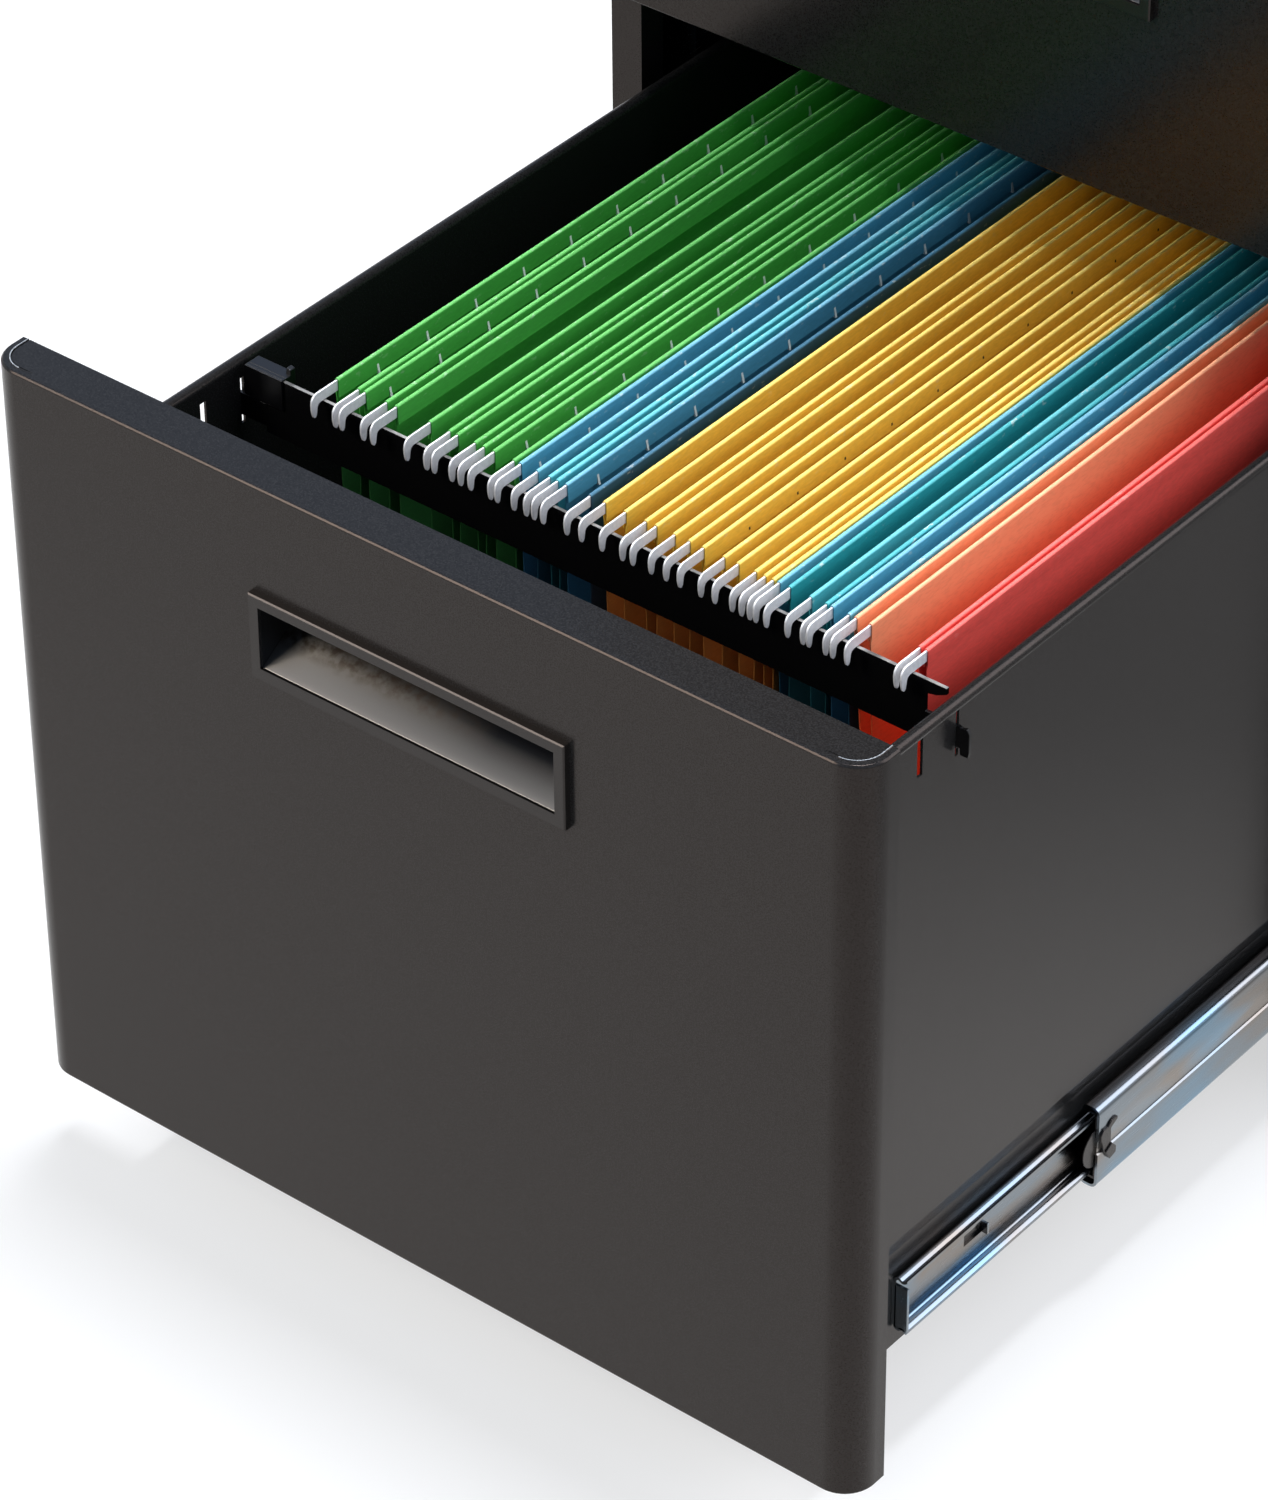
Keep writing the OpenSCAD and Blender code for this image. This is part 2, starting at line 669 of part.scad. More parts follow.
// A bent tab on the drawer side, which the lock bar's lug holds back
module lock_catch() {
    color(charcoal) translate([wall_x, catch_y, catch_z]) {
        cube([catch_reach, catch_t, catch_h]);
        cube([body_t, catch_foot, catch_h]);
    }
}
rail_slots = [for (y = [rail_y, rail_y + rail_span]) [y, hook_low - 1.5, slot_top - hook_low + 1.5]];
module file_side(spare_slots) {
    color(charcoal) difference() {
        along_y(front_d, body_len) side_section(file_side_top);
        for (s = concat(rail_slots, spare_slots)) translate([side_x - 6, s[0] - slot_w / 2, s[1]])
            cube([12, slot_w, s[2]]);
    }
}
module file_side_left() {
    mirror([1, 0, 0]) file_side([[spare_y, slot_top - slot_len, slot_len]]);
}
module file_side_right() { file_side([[spare_y, slot_top - slot_len, slot_len]]); }
module file_bottom() {
    inner = side_x - body_t;
    color(charcoal_dark) {
        translate([-inner, front_d, body_low]) cube([2 * inner, body_len, body_t]);
        both_sides() translate([inner - body_t, front_d, body_low]) cube([body_t, body_len, pan_fold]);
        translate([-inner, front_d, body_low]) cube([2 * inner, body_t, pan_fold]);
    }
}
module file_back() {
    inner = side_x - 2 * body_t - seat;
    color(charcoal) {
        translate([-inner, front_d + body_len - body_t, body_low + body_t])
            cube([2 * inner, body_t, file_back_h]);
        both_sides() translate([inner - body_t, front_d + body_len - back_fold, body_low + body_t])
            cube([body_t, back_fold, file_back_h]);
        translate([0, front_d + body_len - bead_w / 2, body_low + body_t + file_back_h]) rotate([0, 90, 0])
            cylinder(r = bead_w / 2, h = 2 * inner, center = true);
    }
}
module rail_plate(y) {
    inside = wall_x - body_t;
    low = rail_top - rail_h;
    half = inside - 11.7;
    foot = hook_out - 1.8;
    along_y(y - rail_t / 2, rail_t) {
        translate([-half, low]) square([2 * half, rail_h]);
        translate([-inside + 3.2, rail_top - 4]) square([2 * inside - 6.4, 4]);
        translate([-wall_x - hook_out, hook_low + 2]) square([2 * (wall_x + hook_out), hook_top - hook_low - 2]);
        translate([wall_x + hook_out - foot, hook_low]) square([foot, 3]);
        translate([-wall_x - hook_out, hook_low]) square([foot, 3]);
    }
}
module rail_front() { color(black) rail_plate(rail_y); }
module rail_rear() { color(black) rail_plate(rail_y + rail_span); }
module rail_clip(y, back) {
    inside = wall_x - body_t;
    depth = 7.5;
    y0 = back ? y - rail_t / 2 - 0.9 : y + rail_t / 2 + 0.9 - depth;
    difference() {
        union() {
            translate([-inside + 2.6, y0, hook_top + 1]) cube([clip_w, depth, rail_top + 0.8 - hook_top - 1]);
            translate([-inside + clip_w + 0.1, back ? y0 + depth - 2.5 : y0, rail_top + 0.8 - eps]) cube([2.5, 2.5, 2.5]);
        }
        translate([-inside, y - rail_t / 2 - 0.1, rail_top - rail_h])
            cube([2 * clip_w, rail_t + 0.2, rail_h + 0.1]);
    }
}
module rail_clips() {
    color(black) {
        rail_clip(rail_y, true);
        rail_clip(rail_y + rail_span, false);
    }
}
module box_tray() {
    inner = side_x - body_t;
    color(charcoal) {
        both_sides() along_y(front_d, body_len) side_section(box_side_top);
        translate([-inner, front_d, body_low]) cube([2 * inner, body_len, body_t]);
        translate([-inner, front_d + body_len - body_t, body_low]) cube([2 * inner, body_t, box_side_top - body_low - 8]);
        difference() {
            translate([-inner, front_d, body_low]) cube([2 * inner, body_t, box_side_top - body_low - 8]);
            translate([-frame_w / 2, 0, box_front_h - pull_drop - frame_h])
                cube([frame_w, front_d + 5, frame_h]);
        }
    }
}

// Hanging folders: two leaves hang from two rods and meet in a fold
function rods(f) = [spread * f[0], spread * (f[0] + f[1])];
module rod_pocket(x) {
    translate([x - rod_t / 2 - hem_play, hem_top - card_t - rod_h - 1.8])
        square([rod_t + 2 * hem_play, rod_h + 1.8]);
}
module folder_section(f) {
    left = rods(f)[0];
    right = rods(f)[1];
    low = (left + right) / 2 + spread * f[2];
    z = hem_top - hem_h;
    h = hem_t / 2;
    c = card_t / 2;
    difference() {
        polygon([[left - h, hem_top], [left + h, hem_top], [left + h, z], [left + c, z],
                 [low, fold_z + 2 * card_t], [right - c, z], [right - h, z], [right - h, hem_top],
                 [right + h, hem_top], [right + h, z], [right + c, z], [low + card_t, fold_z],
                 [low - card_t, fold_z], [left - c, z], [left - h, z]]);
        rod_pocket(left);
        rod_pocket(right);
    }
}
module folders(list, tint) {
    y0 = rail_y + (rail_span - folder_len) / 2;
    color(tint) for (f = list) along_y(y0, folder_len) folder_section(f);
}
module hook_section() {
    y0 = rail_y - tip_reach;
    y1 = rail_y + rail_span + tip_reach;
    translate([y0, rod_z]) square([y1 - y0, rod_h]);
    translate([y0 - 1.5, rod_z - tip_drop]) square([tip_len, tip_drop + rod_h - 1]);
    translate([y1 + 1.5 - tip_len, rod_z - tip_drop]) square([tip_len, tip_drop + rod_h - 1]);
}
module folder_hooks() {
    color("#d5d5d8") for (f = all_folders, x = rods(f))
        translate([x, 0, 0]) along_x(rod_t) hook_section();
}

color(charcoal) on_side(false) side_panel();  // side_panel_left
color(charcoal) on_side(true) side_panel();  // side_panel_right
top_cap();
back_panel();
base_pan();
header_rail();
uprights();
counterweight();
glides();
bumpers();
screws();
translate([0, 0, z_file]) both_sides() outer_member();  // file_outer
translate([0, 0, z_middle]) both_sides() outer_member();  // middle_outer
translate([0, 0, z_upper]) both_sides() outer_member();  // upper_outer
lock_housing();
lock_bar_guides();
lock_plug();
lock_cam();
lock_bar();
lock_lugs();
color(charcoal) in_file() front_skin(file_front_h);  // file_front
color(charcoal_dark) in_file() front_liner(file_front_h);  // file_liner
in_file() pull_frame(file_front_h);  // file_pull_frame
in_file() pull_cup(file_front_h);  // file_pull_cup
in_file() file_side_left();
in_file() file_side_right();
in_file() file_bottom();
in_file() file_back();
in_file() lock_catch();  // file_catch
in_file() rail_front();
in_file() rail_rear();
in_file() rail_clips();
in_file() on_side(false) inner_member();  // file_inner_left
in_file() on_side(true) inner_member();  // file_inner_right
in_file() folders(green_folders, "#3fa535");  // folders_green
in_file() folders(blue_folders, "#4a9cc4");  // folders_blue
in_file() folders(yellow_folders, "#e9b62e");  // folders_yellow
in_file() folders(teal_folders, "#1c8e96");  // folders_teal
in_file() folders(orange_folders, "#f37b42");  // folder_orange
in_file() folders(red_folders, "#c9433c");  // folder_red
in_file() folder_hooks();
translate([0, 0, z_file]) on_side(false) mid_member(slide_y - file_share * file_open);  // file_mid_left
translate([0, 0, z_file]) on_side(true) mid_member(slide_y - file_share * file_open);  // file_mid_right
file_latches();
file_cages();
file_balls();
color(charcoal) in_middle() {  // middle_front
    front_skin(box_front_h);
    front_liner(box_front_h);
}
in_middle() pull_frame(box_front_h);  // middle_pull_frame
in_middle() pull_cup(box_front_h);  // middle_pull_cup
in_middle() box_tray();  // middle_tray
in_middle() lock_catch();  // middle_catch
in_middle() both_sides() inner_member();  // middle_inner
translate([0, 0, z_middle]) both_sides() mid_member(slide_y);  // middle_mid
color(charcoal) in_upper() {  // upper_front
    front_skin(box_front_h);
    front_liner(box_front_h);
}
in_upper() pull_frame(box_front_h);  // upper_pull_frame
in_upper() pull_cup(box_front_h);  // upper_pull_cup
in_upper() box_tray();  // upper_tray
in_upper() lock_catch();  // upper_catch
in_upper() both_sides() inner_member();  // upper_inner
translate([0, 0, z_upper]) both_sides() mid_member(slide_y);  // upper_mid
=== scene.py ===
# %% [markdown]
# # A pedestal file cabinet with its file drawer open
#
# The shapes come from a construction model, one object for each real piece, held by a body for
# each thing that moves. Here the visible pieces get the soft edges, rolled rims and finishes
# that a sheet metal cabinet has, and the rest of the pieces get their materials.

# %% Load the construction model
import json
import math

import bmesh
import bpy
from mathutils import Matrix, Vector


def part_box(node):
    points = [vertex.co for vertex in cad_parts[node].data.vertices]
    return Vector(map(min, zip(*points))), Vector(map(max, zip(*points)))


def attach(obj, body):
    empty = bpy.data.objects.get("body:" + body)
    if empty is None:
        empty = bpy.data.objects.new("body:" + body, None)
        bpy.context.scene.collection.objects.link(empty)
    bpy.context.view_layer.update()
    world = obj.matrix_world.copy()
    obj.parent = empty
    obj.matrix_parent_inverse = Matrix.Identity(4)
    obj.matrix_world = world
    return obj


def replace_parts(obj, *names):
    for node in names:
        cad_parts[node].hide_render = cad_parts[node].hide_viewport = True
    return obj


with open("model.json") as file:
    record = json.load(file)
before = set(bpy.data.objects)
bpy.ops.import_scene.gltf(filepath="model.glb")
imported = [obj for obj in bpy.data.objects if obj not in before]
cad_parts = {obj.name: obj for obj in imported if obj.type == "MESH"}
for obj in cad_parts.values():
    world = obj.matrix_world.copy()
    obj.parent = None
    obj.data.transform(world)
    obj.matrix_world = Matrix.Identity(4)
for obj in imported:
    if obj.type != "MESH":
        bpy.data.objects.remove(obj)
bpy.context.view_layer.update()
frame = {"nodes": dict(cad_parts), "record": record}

# %% [markdown]
# ## The camera
#
# The photograph looks down on the open drawer from the front right with a long lens, so that
# upright edges stay nearly parallel. The place and the lens were worked out from the drawer's
# corners in the photograph.

# %% Camera
lens = bpy.data.cameras.new("photo_lens")
lens.lens = 149.93
lens.sensor_width = 36
lens.clip_start = 0.05
camera = bpy.data.objects.new("photo_camera", lens)
camera.location = (1.11980, -1.65372, 1.54429)
camera.rotation_euler = [math.radians(a) for a in (52.8182, 0.4077, 39.0026)]
bpy.context.collection.objects.link(camera)
bpy.context.scene.camera = camera
bpy.context.scene.view_settings.view_transform = "Standard"
print("camera at", [round(v, 3) for v in camera.location])

# %% [markdown]
# ## Colours and nodes
#
# Colours are written as they look on a screen. Blender works with linear light, so one function
# turns them into linear values with the curve of the sRGB standard. A second helper adds a
# shader node with its settings and links, which keeps each material short.


# %% Helpers for materials
def tone(text):
    parts = [int(text[i:i + 2], 16) / 255 for i in (1, 3, 5)]
    return [c / 12.92 if c <= 0.04045 else ((c + 0.055) / 1.055) ** 2.4 for c in parts] + [1.0]


def node(tree, kind, inputs=None, **settings):
    made = tree.nodes.new(kind)
    for key, value in settings.items():
        setattr(made, key, value)
    for key, value in (inputs or {}).items():
        if isinstance(value, bpy.types.NodeSocket):
            tree.links.new(value, made.inputs[key])
        else:
            made.inputs[key].default_value = value
    return made


def material(name, colour, roughness, metallic=0.0):
    made = bpy.data.materials.new(name)
    made.use_nodes = True
    shader = made.node_tree.nodes["Principled BSDF"]
    shader.inputs["Base Color"].default_value = tone(colour)
    shader.inputs["Roughness"].default_value = roughness
    shader.inputs["Metallic"].default_value = metallic
    return made, made.node_tree, shader


# How strongly paint or plastic mirrors, and the tint of what it mirrors
def mirror(shader, level, tint="#FFFFFF"):
    shader.inputs["Specular IOR Level"].default_value = level
    shader.inputs["Specular Tint"].default_value = tone(tint)


print("dark grey in linear light:", round(tone("#1A1A1A")[0], 4))

# %% [markdown]
# A pattern is noise, placed by the object's own coordinates in metres, so it moves with the
# piece. It changes a colour a little, or it tilts the surface through a bump, which costs no
# faces. One helper turns any value into a ramp between two ends.


# %% Helpers for patterns
def place(tree, stretch=(1, 1, 1)):
    at = node(tree, "ShaderNodeTexCoord").outputs["Object"]
    return node(tree, "ShaderNodeMapping", {"Vector": at, "Scale": stretch}).outputs[0]


def noise(tree, at, size_mm, detail=2.0):
    return node(tree, "ShaderNodeTexNoise",
                {"Vector": at, "Scale": 1000 / size_mm, "Detail": detail}).outputs["Fac"]


# Goes evenly from base at start to top at end, and keeps those two values beyond them
def span(tree, value, start, end, top=1.0, base=0.0):
    made = node(tree, "ShaderNodeMapRange", {"Value": value, "From Min": start, "From Max": end,
                                             "To Min": base, "To Max": top})
    return made.outputs[0]


# Noise rarely leaves the values between these two
NOISE_LOW, NOISE_HIGH = 0.35, 0.65


# Changes the brightness of a colour by a pattern, between two factors
def shade(tree, shader, colour, pattern, low, high):
    factor = span(tree, pattern, NOISE_LOW, NOISE_HIGH, high, low)
    tinted = node(tree, "ShaderNodeHueSaturation", {"Color": colour, "Value": factor})
    tree.links.new(tinted.outputs[0], shader.inputs["Base Color"])


def relief(tree, shader, pattern, depth_mm):
    bump = node(tree, "ShaderNodeBump",
                {"Height": pattern, "Distance": depth_mm / 1000, "Strength": 1.0})
    tree.links.new(bump.outputs[0], shader.inputs["Normal"])


print("noise is read between", NOISE_LOW, "and", NOISE_HIGH)

# %% [markdown]
# ## Painted steel
#
# The case and the drawers are bent from sheet steel and powder coated. Powder paint melts into
# a skin with a slight orange peel, soft hills a few hundredths of a millimetre high, which a
# bump gives. Its satin look comes from a grain too fine for a picture. Here the grain is drawn
# as lighter and darker specks 0.6 mm wide, coarser than real, so that some of it shows.

# %% Paint
PEEL_MM, PEEL_DEPTH_MM = 0.8, 0.035
GRAIN_MM, GRAIN_SPREAD = 0.6, 0.4


def paint(name, colour, roughness):
    made, tree, shader = material(name, colour, roughness)
    at = place(tree)
    peel = noise(tree, at, PEEL_MM, 3.0)
    fine = noise(tree, at, GRAIN_MM)
    shade(tree, shader, tone(colour), fine, 1 - GRAIN_SPREAD, 1 + GRAIN_SPREAD)
    relief(tree, shader, peel, PEEL_DEPTH_MM)
    mirror(shader, 0.23, "#FFE4D5")
    return made


case_paint = paint("Powder-coated steel, charcoal satin", "#1A1A1A", 0.22)
inner_paint = paint("Powder-coated steel, inside of case", "#141414", 0.45)
# A lighter copy of the paint for the bead of the welded seam: a painted highlight
seam_highlight_paint = paint("Powder-coated steel, painted highlight on a seam", "#84888C", 0.3)
print("paints:", case_paint.name, "|", inner_paint.name, "|", seam_highlight_paint.name)

# %% [markdown]
# ## Bare and plated metal
#
# The slides are rolled from zinc-plated strip. Rolling leaves faint streaks along the strip, so
# the pattern is stretched along the slide. Zinc also has cloudy grey, brown and blue patches a
# few centimetres wide.

# %% Metals
CLOUD_STRETCH, EVEN = (1, 0.3, 1), (1, 1, 1)
CLOUD_MM, DRIFT_MM = 16, 27


def blend(tree, factor, first, second):
    made = node(tree, "ShaderNodeMix", {0: factor, 6: first, 7: second}, data_type="RGBA")
    return made.outputs[2]


def metal(name, colour, other, roughness, streak=(1, 0.04, 1), streak_mm=0.5, third=None):
    made, tree, shader = material(name, colour, roughness, 1.0)
    streaks = noise(tree, place(tree, streak), streak_mm)
    clouds = noise(tree, place(tree, CLOUD_STRETCH), CLOUD_MM)
    film = blend(tree, span(tree, clouds, 0.4, 0.6), tone(colour), tone(other))
    if third:
        drift = noise(tree, place(tree, CLOUD_STRETCH), DRIFT_MM)
        film = blend(tree, span(tree, drift, 0.5, 0.62), film, tone(third))
    shade(tree, shader, film, streaks, 0.95, 1.05)
    rough = span(tree, streaks, 0.3, 0.7, roughness * 1.25, roughness * 0.8)
    tree.links.new(rough, shader.inputs["Roughness"])
    relief(tree, shader, streaks, 0.0006)
    return made


zinc = metal("Zinc-plated steel, rolled, clear passivated", "#777F86", "#7E7771", 0.22,
             third="#6C879B")
lock_metal = metal("Nickel-plated zinc, turned", "#B9BABC", "#B0AFAC", 0.22, EVEN, 0.8)
ball_steel = metal("Ball bearing steel, polished", "#C8CACC", "#C8CACC", 0.08, EVEN, 5)
weight_iron = metal("Cast iron, raw", "#6B6D70", "#5A5A5C", 0.55, EVEN, 1.2)
print("metals:", ", ".join(made.name for made in (zinc, lock_metal, ball_steel, weight_iron)))

# %% [markdown]
# The cup of a pull is plated steel, brushed to satin. In the photograph it is bright at its
# left end and dull and bluish at its right, with brown wear at the back where fingers reach in.
# Two ramps, one along the cup and one inwards, blend these colours: the bright left end and the
# dull blue right end, darker towards the back, are painted reflection and shade.


# %% Plating of the cups, with painted reflection and shade
def coordinate(tree, at, axis):
    return node(tree, "ShaderNodeSeparateXYZ", {"Vector": at}).outputs[axis]


def generated(tree):
    return node(tree, "ShaderNodeTexCoord").outputs["Generated"]


def maths(tree, operation, first, second):
    return node(tree, "ShaderNodeMath", {0: first, 1: second}, operation=operation).outputs[0]


def cup_plating_and_painted_light():
    made, tree, shader = material("Nickel-plated steel, satin brushed", "#6C6863", 0.34, 1.0)
    at = place(tree)
    along = coordinate(tree, at, "X")
    inward = coordinate(tree, generated(tree), "Y")
    # Painted shade: darker and a little blue towards the back
    painted_shade_inward = blend(tree, span(tree, inward, 0.05, 0.5), tone("#5E5B57"), tone("#1E1F22"))
    # Painted reflection: the left end stays bright, and the right end takes the painted shade
    base = blend(tree, span(tree, along, -0.05, 0.03), tone("#66625D"), painted_shade_inward)
    blot = span(tree, noise(tree, at, 3.2, 8.0), 0.4, 0.6, 0.85)
    at_back = maths(tree, "MULTIPLY", blot, span(tree, inward, 0.3, 0.5))
    left_part = maths(tree, "MULTIPLY", at_back, span(tree, along, 0.03, -0.01))
    brown = blend(tree, left_part, base, tone("#3E342B"))
    tree.links.new(brown, shader.inputs["Base Color"])
    relief(tree, shader, noise(tree, place(tree, (0.06, 1, 1)), 0.6), 0.002)
    return made


cup_metal = cup_plating_and_painted_light()
print("cup:", cup_metal.name, "with", len(cup_metal.node_tree.nodes), "nodes")

# %% [markdown]
# ## Plastic, painted parts and rubber
#
# The frame of a pull is moulded black plastic with a fine grain, and the hanging rails are
# painted steel with a painted highlight along the top edge. All of them are one colour with a
# small noise in its brightness and its height, so one function makes them.


# %% Plastics and painted parts
def grained(name, colour, roughness, grain_mm, depth_mm, spread=0.06):
    made, tree, shader = material(name, colour, roughness)
    pattern = noise(tree, place(tree), grain_mm, 3.0)
    shade(tree, shader, tone(colour), pattern, 1 - spread, 1 + spread)
    relief(tree, shader, pattern, depth_mm)
    return made


black_plastic = grained("Moulded ABS, black fine grain", "#161514", 0.27, 0.5, 0.004)
black_steel = grained("Painted steel, black gloss", "#0B0B0C", 0.25, 1.2, 0.006)
nylon = grained("Moulded nylon, black", "#08080A", 0.3, 0.6, 0.004)
for made, level, tint in ((black_plastic, 0.32, "#FFF0EA"), (black_steel, 0.22, "#FFFFFF"),
                          (nylon, 0.4, "#FFFFFF")):
    mirror(made.node_tree.nodes["Principled BSDF"], level, tint)
# A darker copy of the black plastic for the walls of the recess: painted shade
recess_shade_plastic = grained("Moulded ABS, painted shade inside the pull", "#070707", 0.4, 0.5, 0.004)
rubber = grained("Rubber, black matt", "#1A1A1A", 0.8, 0.8, 0.01)
# A lighter grey for the top edge of the hanging rails: a painted highlight
rail_top_highlight = grained("Painted steel, painted highlight on the top edge", "#7A7875", 0.35, 9, 0.004, 0.6)
hook_steel = grained("Coated spring steel, pale grey", "#E6E6E8", 0.3, 1.5, 0.003)
print("black parts:", black_plastic.name, "|", black_steel.name, "|", nylon.name)

# %% [markdown]
# ## Card
#
# Folder card is dyed in the pulp, so the colour varies a little with the fibres and the surface
# is matt. Along the fold at the top the colour is paler, a painted highlight, and flecks of bare
# card show near it. Deep between the leaves the colour is darker and deeper, a painted shade for
# the light that has bounced from card to card. Heights are measured down from the top of the
# folders.

# %% Card
HEM_TOP_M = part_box("folders_green")[1][2]


def card(name, colour, deep, pale, flecks):
    made, tree, shader = material(name, colour, 0.6)
    height = coordinate(tree, place(tree), "Z")
    fibres = noise(tree, place(tree, (1, 0.25, 1)), 0.9, 4.0)

    def below(start_mm, end_mm, top=1.0):
        return span(tree, height, HEM_TOP_M - start_mm / 1000, HEM_TOP_M - end_mm / 1000, top)

    # Painted shade: the colour turns to the deep one from 10 to 34 mm below the top
    body = blend(tree, below(10, 34), tone(colour), tone(deep))
    # Painted highlight: paler along the fold at the top
    fold_highlight = blend(tree, below(1.1, 0.3, 0.28), body, tone(pale))
    near = below(6, 1)
    spots = span(tree, noise(tree, place(tree, (1, 0.5, 1)), 2.2, 6.0), 0.635, 0.67, flecks)
    flecked = blend(tree, maths(tree, "MULTIPLY", near, spots), fold_highlight, tone("#D9DDD2"))
    shade(tree, shader, flecked, fibres, 0.93, 1.05)
    relief(tree, shader, fibres, 0.015)
    return made


# Each card: name, colour, deep colour of the painted shade between the leaves, pale colour of the
# painted highlight along the fold, and share of flecks
CARD = {
    "green": card("Dyed card, green", "#4BB147", "#1F5A26", "#8FCB84", 0.25),
    "blue": card("Dyed card, blue", "#55A7C2", "#194C68", "#A6CCDA", 0.35),
    "yellow": card("Dyed card, yellow", "#F5CA4C", "#AF6C2C", "#FAE79E", 0.2),
    "teal": card("Dyed card, teal", "#239DA3", "#0F484E", "#7CCBD0", 0.5),
    "orange": card("Dyed card, orange", "#FFA878", "#FF6636", "#FAB896", 0.1),
    "red": card("Dyed card, red", "#F0544A", "#EC3E32", "#E08A82", 0.1),
    "cyan": card("Dyed card, pale cyan", "#4BB2BD", "#135059", "#92D6DA", 0.4),
    "sky": card("Dyed card, sky blue", "#5CABC3", "#134459", "#A0D0DC", 0.3),
    # navy is the blue card painted darker: painted shade
    "navy": card("Dyed card, blue in shade", "#1F4F68", "#0E2F42", "#5E98B2", 0.3),
}
# Slivers for the tab slits: a pale one, a painted highlight, and a dark one, painted shade
slit_highlight = grained("Cut card edge, painted highlight", "#D5DDD6", 0.7, 0.4, 0.01)
slit_shade = grained("Slit in card, painted shade", "#1F2A20", 0.7, 0.4, 0.01)
print("card colours:", len(CARD))

# %% [markdown]
# ## Materials on the construction pieces
#
# Every piece of the construction model has a slot in its record. One table gives each slot its
# material, so that a piece that is not built again below still looks as it should.

# %% Materials by slot
SLOTS = {
    "case_paint": case_paint, "inner_paint": inner_paint, "zinc": zinc,
    "plated_cup": cup_metal, "black_plastic": black_plastic, "black_steel": black_steel,
    "lock_metal": lock_metal, "hook_steel": hook_steel, "ball_steel": ball_steel,
    "weight": weight_iron, "bumper_rubber": rubber,
}
SLOTS.update({"card_" + key: made for key, made in CARD.items()})
slot_of = {part["node"]: part["material_slot"] for part in frame["record"]["subparts"]}
for node_name, thing in frame["nodes"].items():
    thing.data.materials.clear()
    thing.data.materials.append(SLOTS[slot_of[node_name]])
print("slots used:", sorted(set(slot_of.values())))

# %% [markdown]
# ## Meshes from points
#
# Each piece is a list of points in millimetres and a list of faces. A closed mesh needs all its
# faces turned outward, and smooth shading needs its sharp edges marked, so helpers do that.

# %% Helpers for meshes
SHARP = 32      # degrees; an edge that turns more is shaded sharp
CREASE = 35     # degrees; an edge that turns more is bevelled or split


def finish_piece(name, mesh, slot, body):
    made = bpy.data.objects.new(name, mesh)
    bpy.context.collection.objects.link(made)
    mesh.materials.append(SLOTS[slot])
    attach(made, body)
    return made


def smooth(mesh, angle=SHARP):
    mesh.polygons.foreach_set("use_smooth", [True] * len(mesh.polygons))
    mesh.set_sharp_from_angle(angle=math.radians(angle))


# Turns all faces the same way, and all of them over again where the test finds them wrong
def orient(mesh, wrong=None):
    work = bmesh.new()
    work.from_mesh(mesh)
    bmesh.ops.recalc_face_normals(work, faces=work.faces)
    if wrong and wrong(work.faces):
        bmesh.ops.reverse_faces(work, faces=work.faces)
    work.to_mesh(mesh)
    work.free()


def mesh_from(name, points, faces, closed):
    mesh = bpy.data.meshes.new(name)
    mesh.from_pydata([(x / 1000, y / 1000, z / 1000) for x, y, z in points], [], faces)
    if closed:
        orient(mesh)
    mesh.validate()
    return mesh


def box_mm(name):
    low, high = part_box(name)
    return Vector(low) * 1000, Vector(high) * 1000


print("file drawer front:", [round(v, 1) for v in box_mm("file_front")[0]])

# %% [markdown]
# ## Sheets
#
# Nearly everything in a sheet metal cabinet is one of two things. The first is a sheet: a grid
# of points that follows the bends, with holes where quads are left out. A Solidify modifier
# gives it its thickness. The cut edges are split from the faces, so that a flat face is shaded
# flat up to its edge.


# %% Sheets
def grid_faces(rows, columns, skip=None, first=0):
    return [[first + i * columns + j, first + i * columns + j + 1,
             first + (i + 1) * columns + j + 1, first + (i + 1) * columns + j]
            for i in range(rows - 1) for j in range(columns - 1) if not (skip and skip(i, j))]


def keep_flat(made):
    flat = made.modifiers.new("flat faces", "WEIGHTED_NORMAL")
    flat.keep_sharp = True


def thicken(made, thick, offset=0.0):
    wall = made.modifiers.new("sheet thickness", "SOLIDIFY")
    wall.thickness = thick / 1000
    wall.offset = offset
    split = made.modifiers.new("cut edges", "EDGE_SPLIT")
    split.split_angle = math.radians(CREASE)
    keep_flat(made)


def sheet(name, grid, slot, body, thick, skip=None, offset=0.0, angle=SHARP):
    points = [p for row in grid for p in row]
    mesh = mesh_from(name, points, grid_faces(len(grid), len(grid[0]), skip), False)
    smooth(mesh, angle)
    made = finish_piece(name, mesh, slot, body)
    thicken(made, thick, offset)
    return made


print("a grid of 3 by 3 points has", len(grid_faces(3, 3)), "faces")

# %% [markdown]
# ## Prisms
#
# The second is a prism: an outline pushed along x, y or z, where each outline point has the two
# other coordinates in order. A Bevel modifier breaks the edges as a real press or mould does.


# %% Prisms
def soften(made, width, segments=2):
    edge = made.modifiers.new("broken edge", "BEVEL")
    edge.width = width / 1000
    edge.segments = segments
    edge.limit_method = "ANGLE"
    edge.angle_limit = math.radians(CREASE)
    edge.harden_normals = True


def prism_data(outline, axis, low, high):
    count = len(outline)
    place_at = {"x": lambda a, b, t: (t, a, b), "y": lambda a, b, t: (a, t, b),
                "z": lambda a, b, t: (a, b, t)}[axis]
    points = [place_at(a, b, t) for t in (low, high) for a, b in outline]
    faces = [[i, (i + 1) % count, count + (i + 1) % count, count + i] for i in range(count)]
    return points, faces + [list(range(count)), list(range(2 * count - 1, count - 1, -1))]


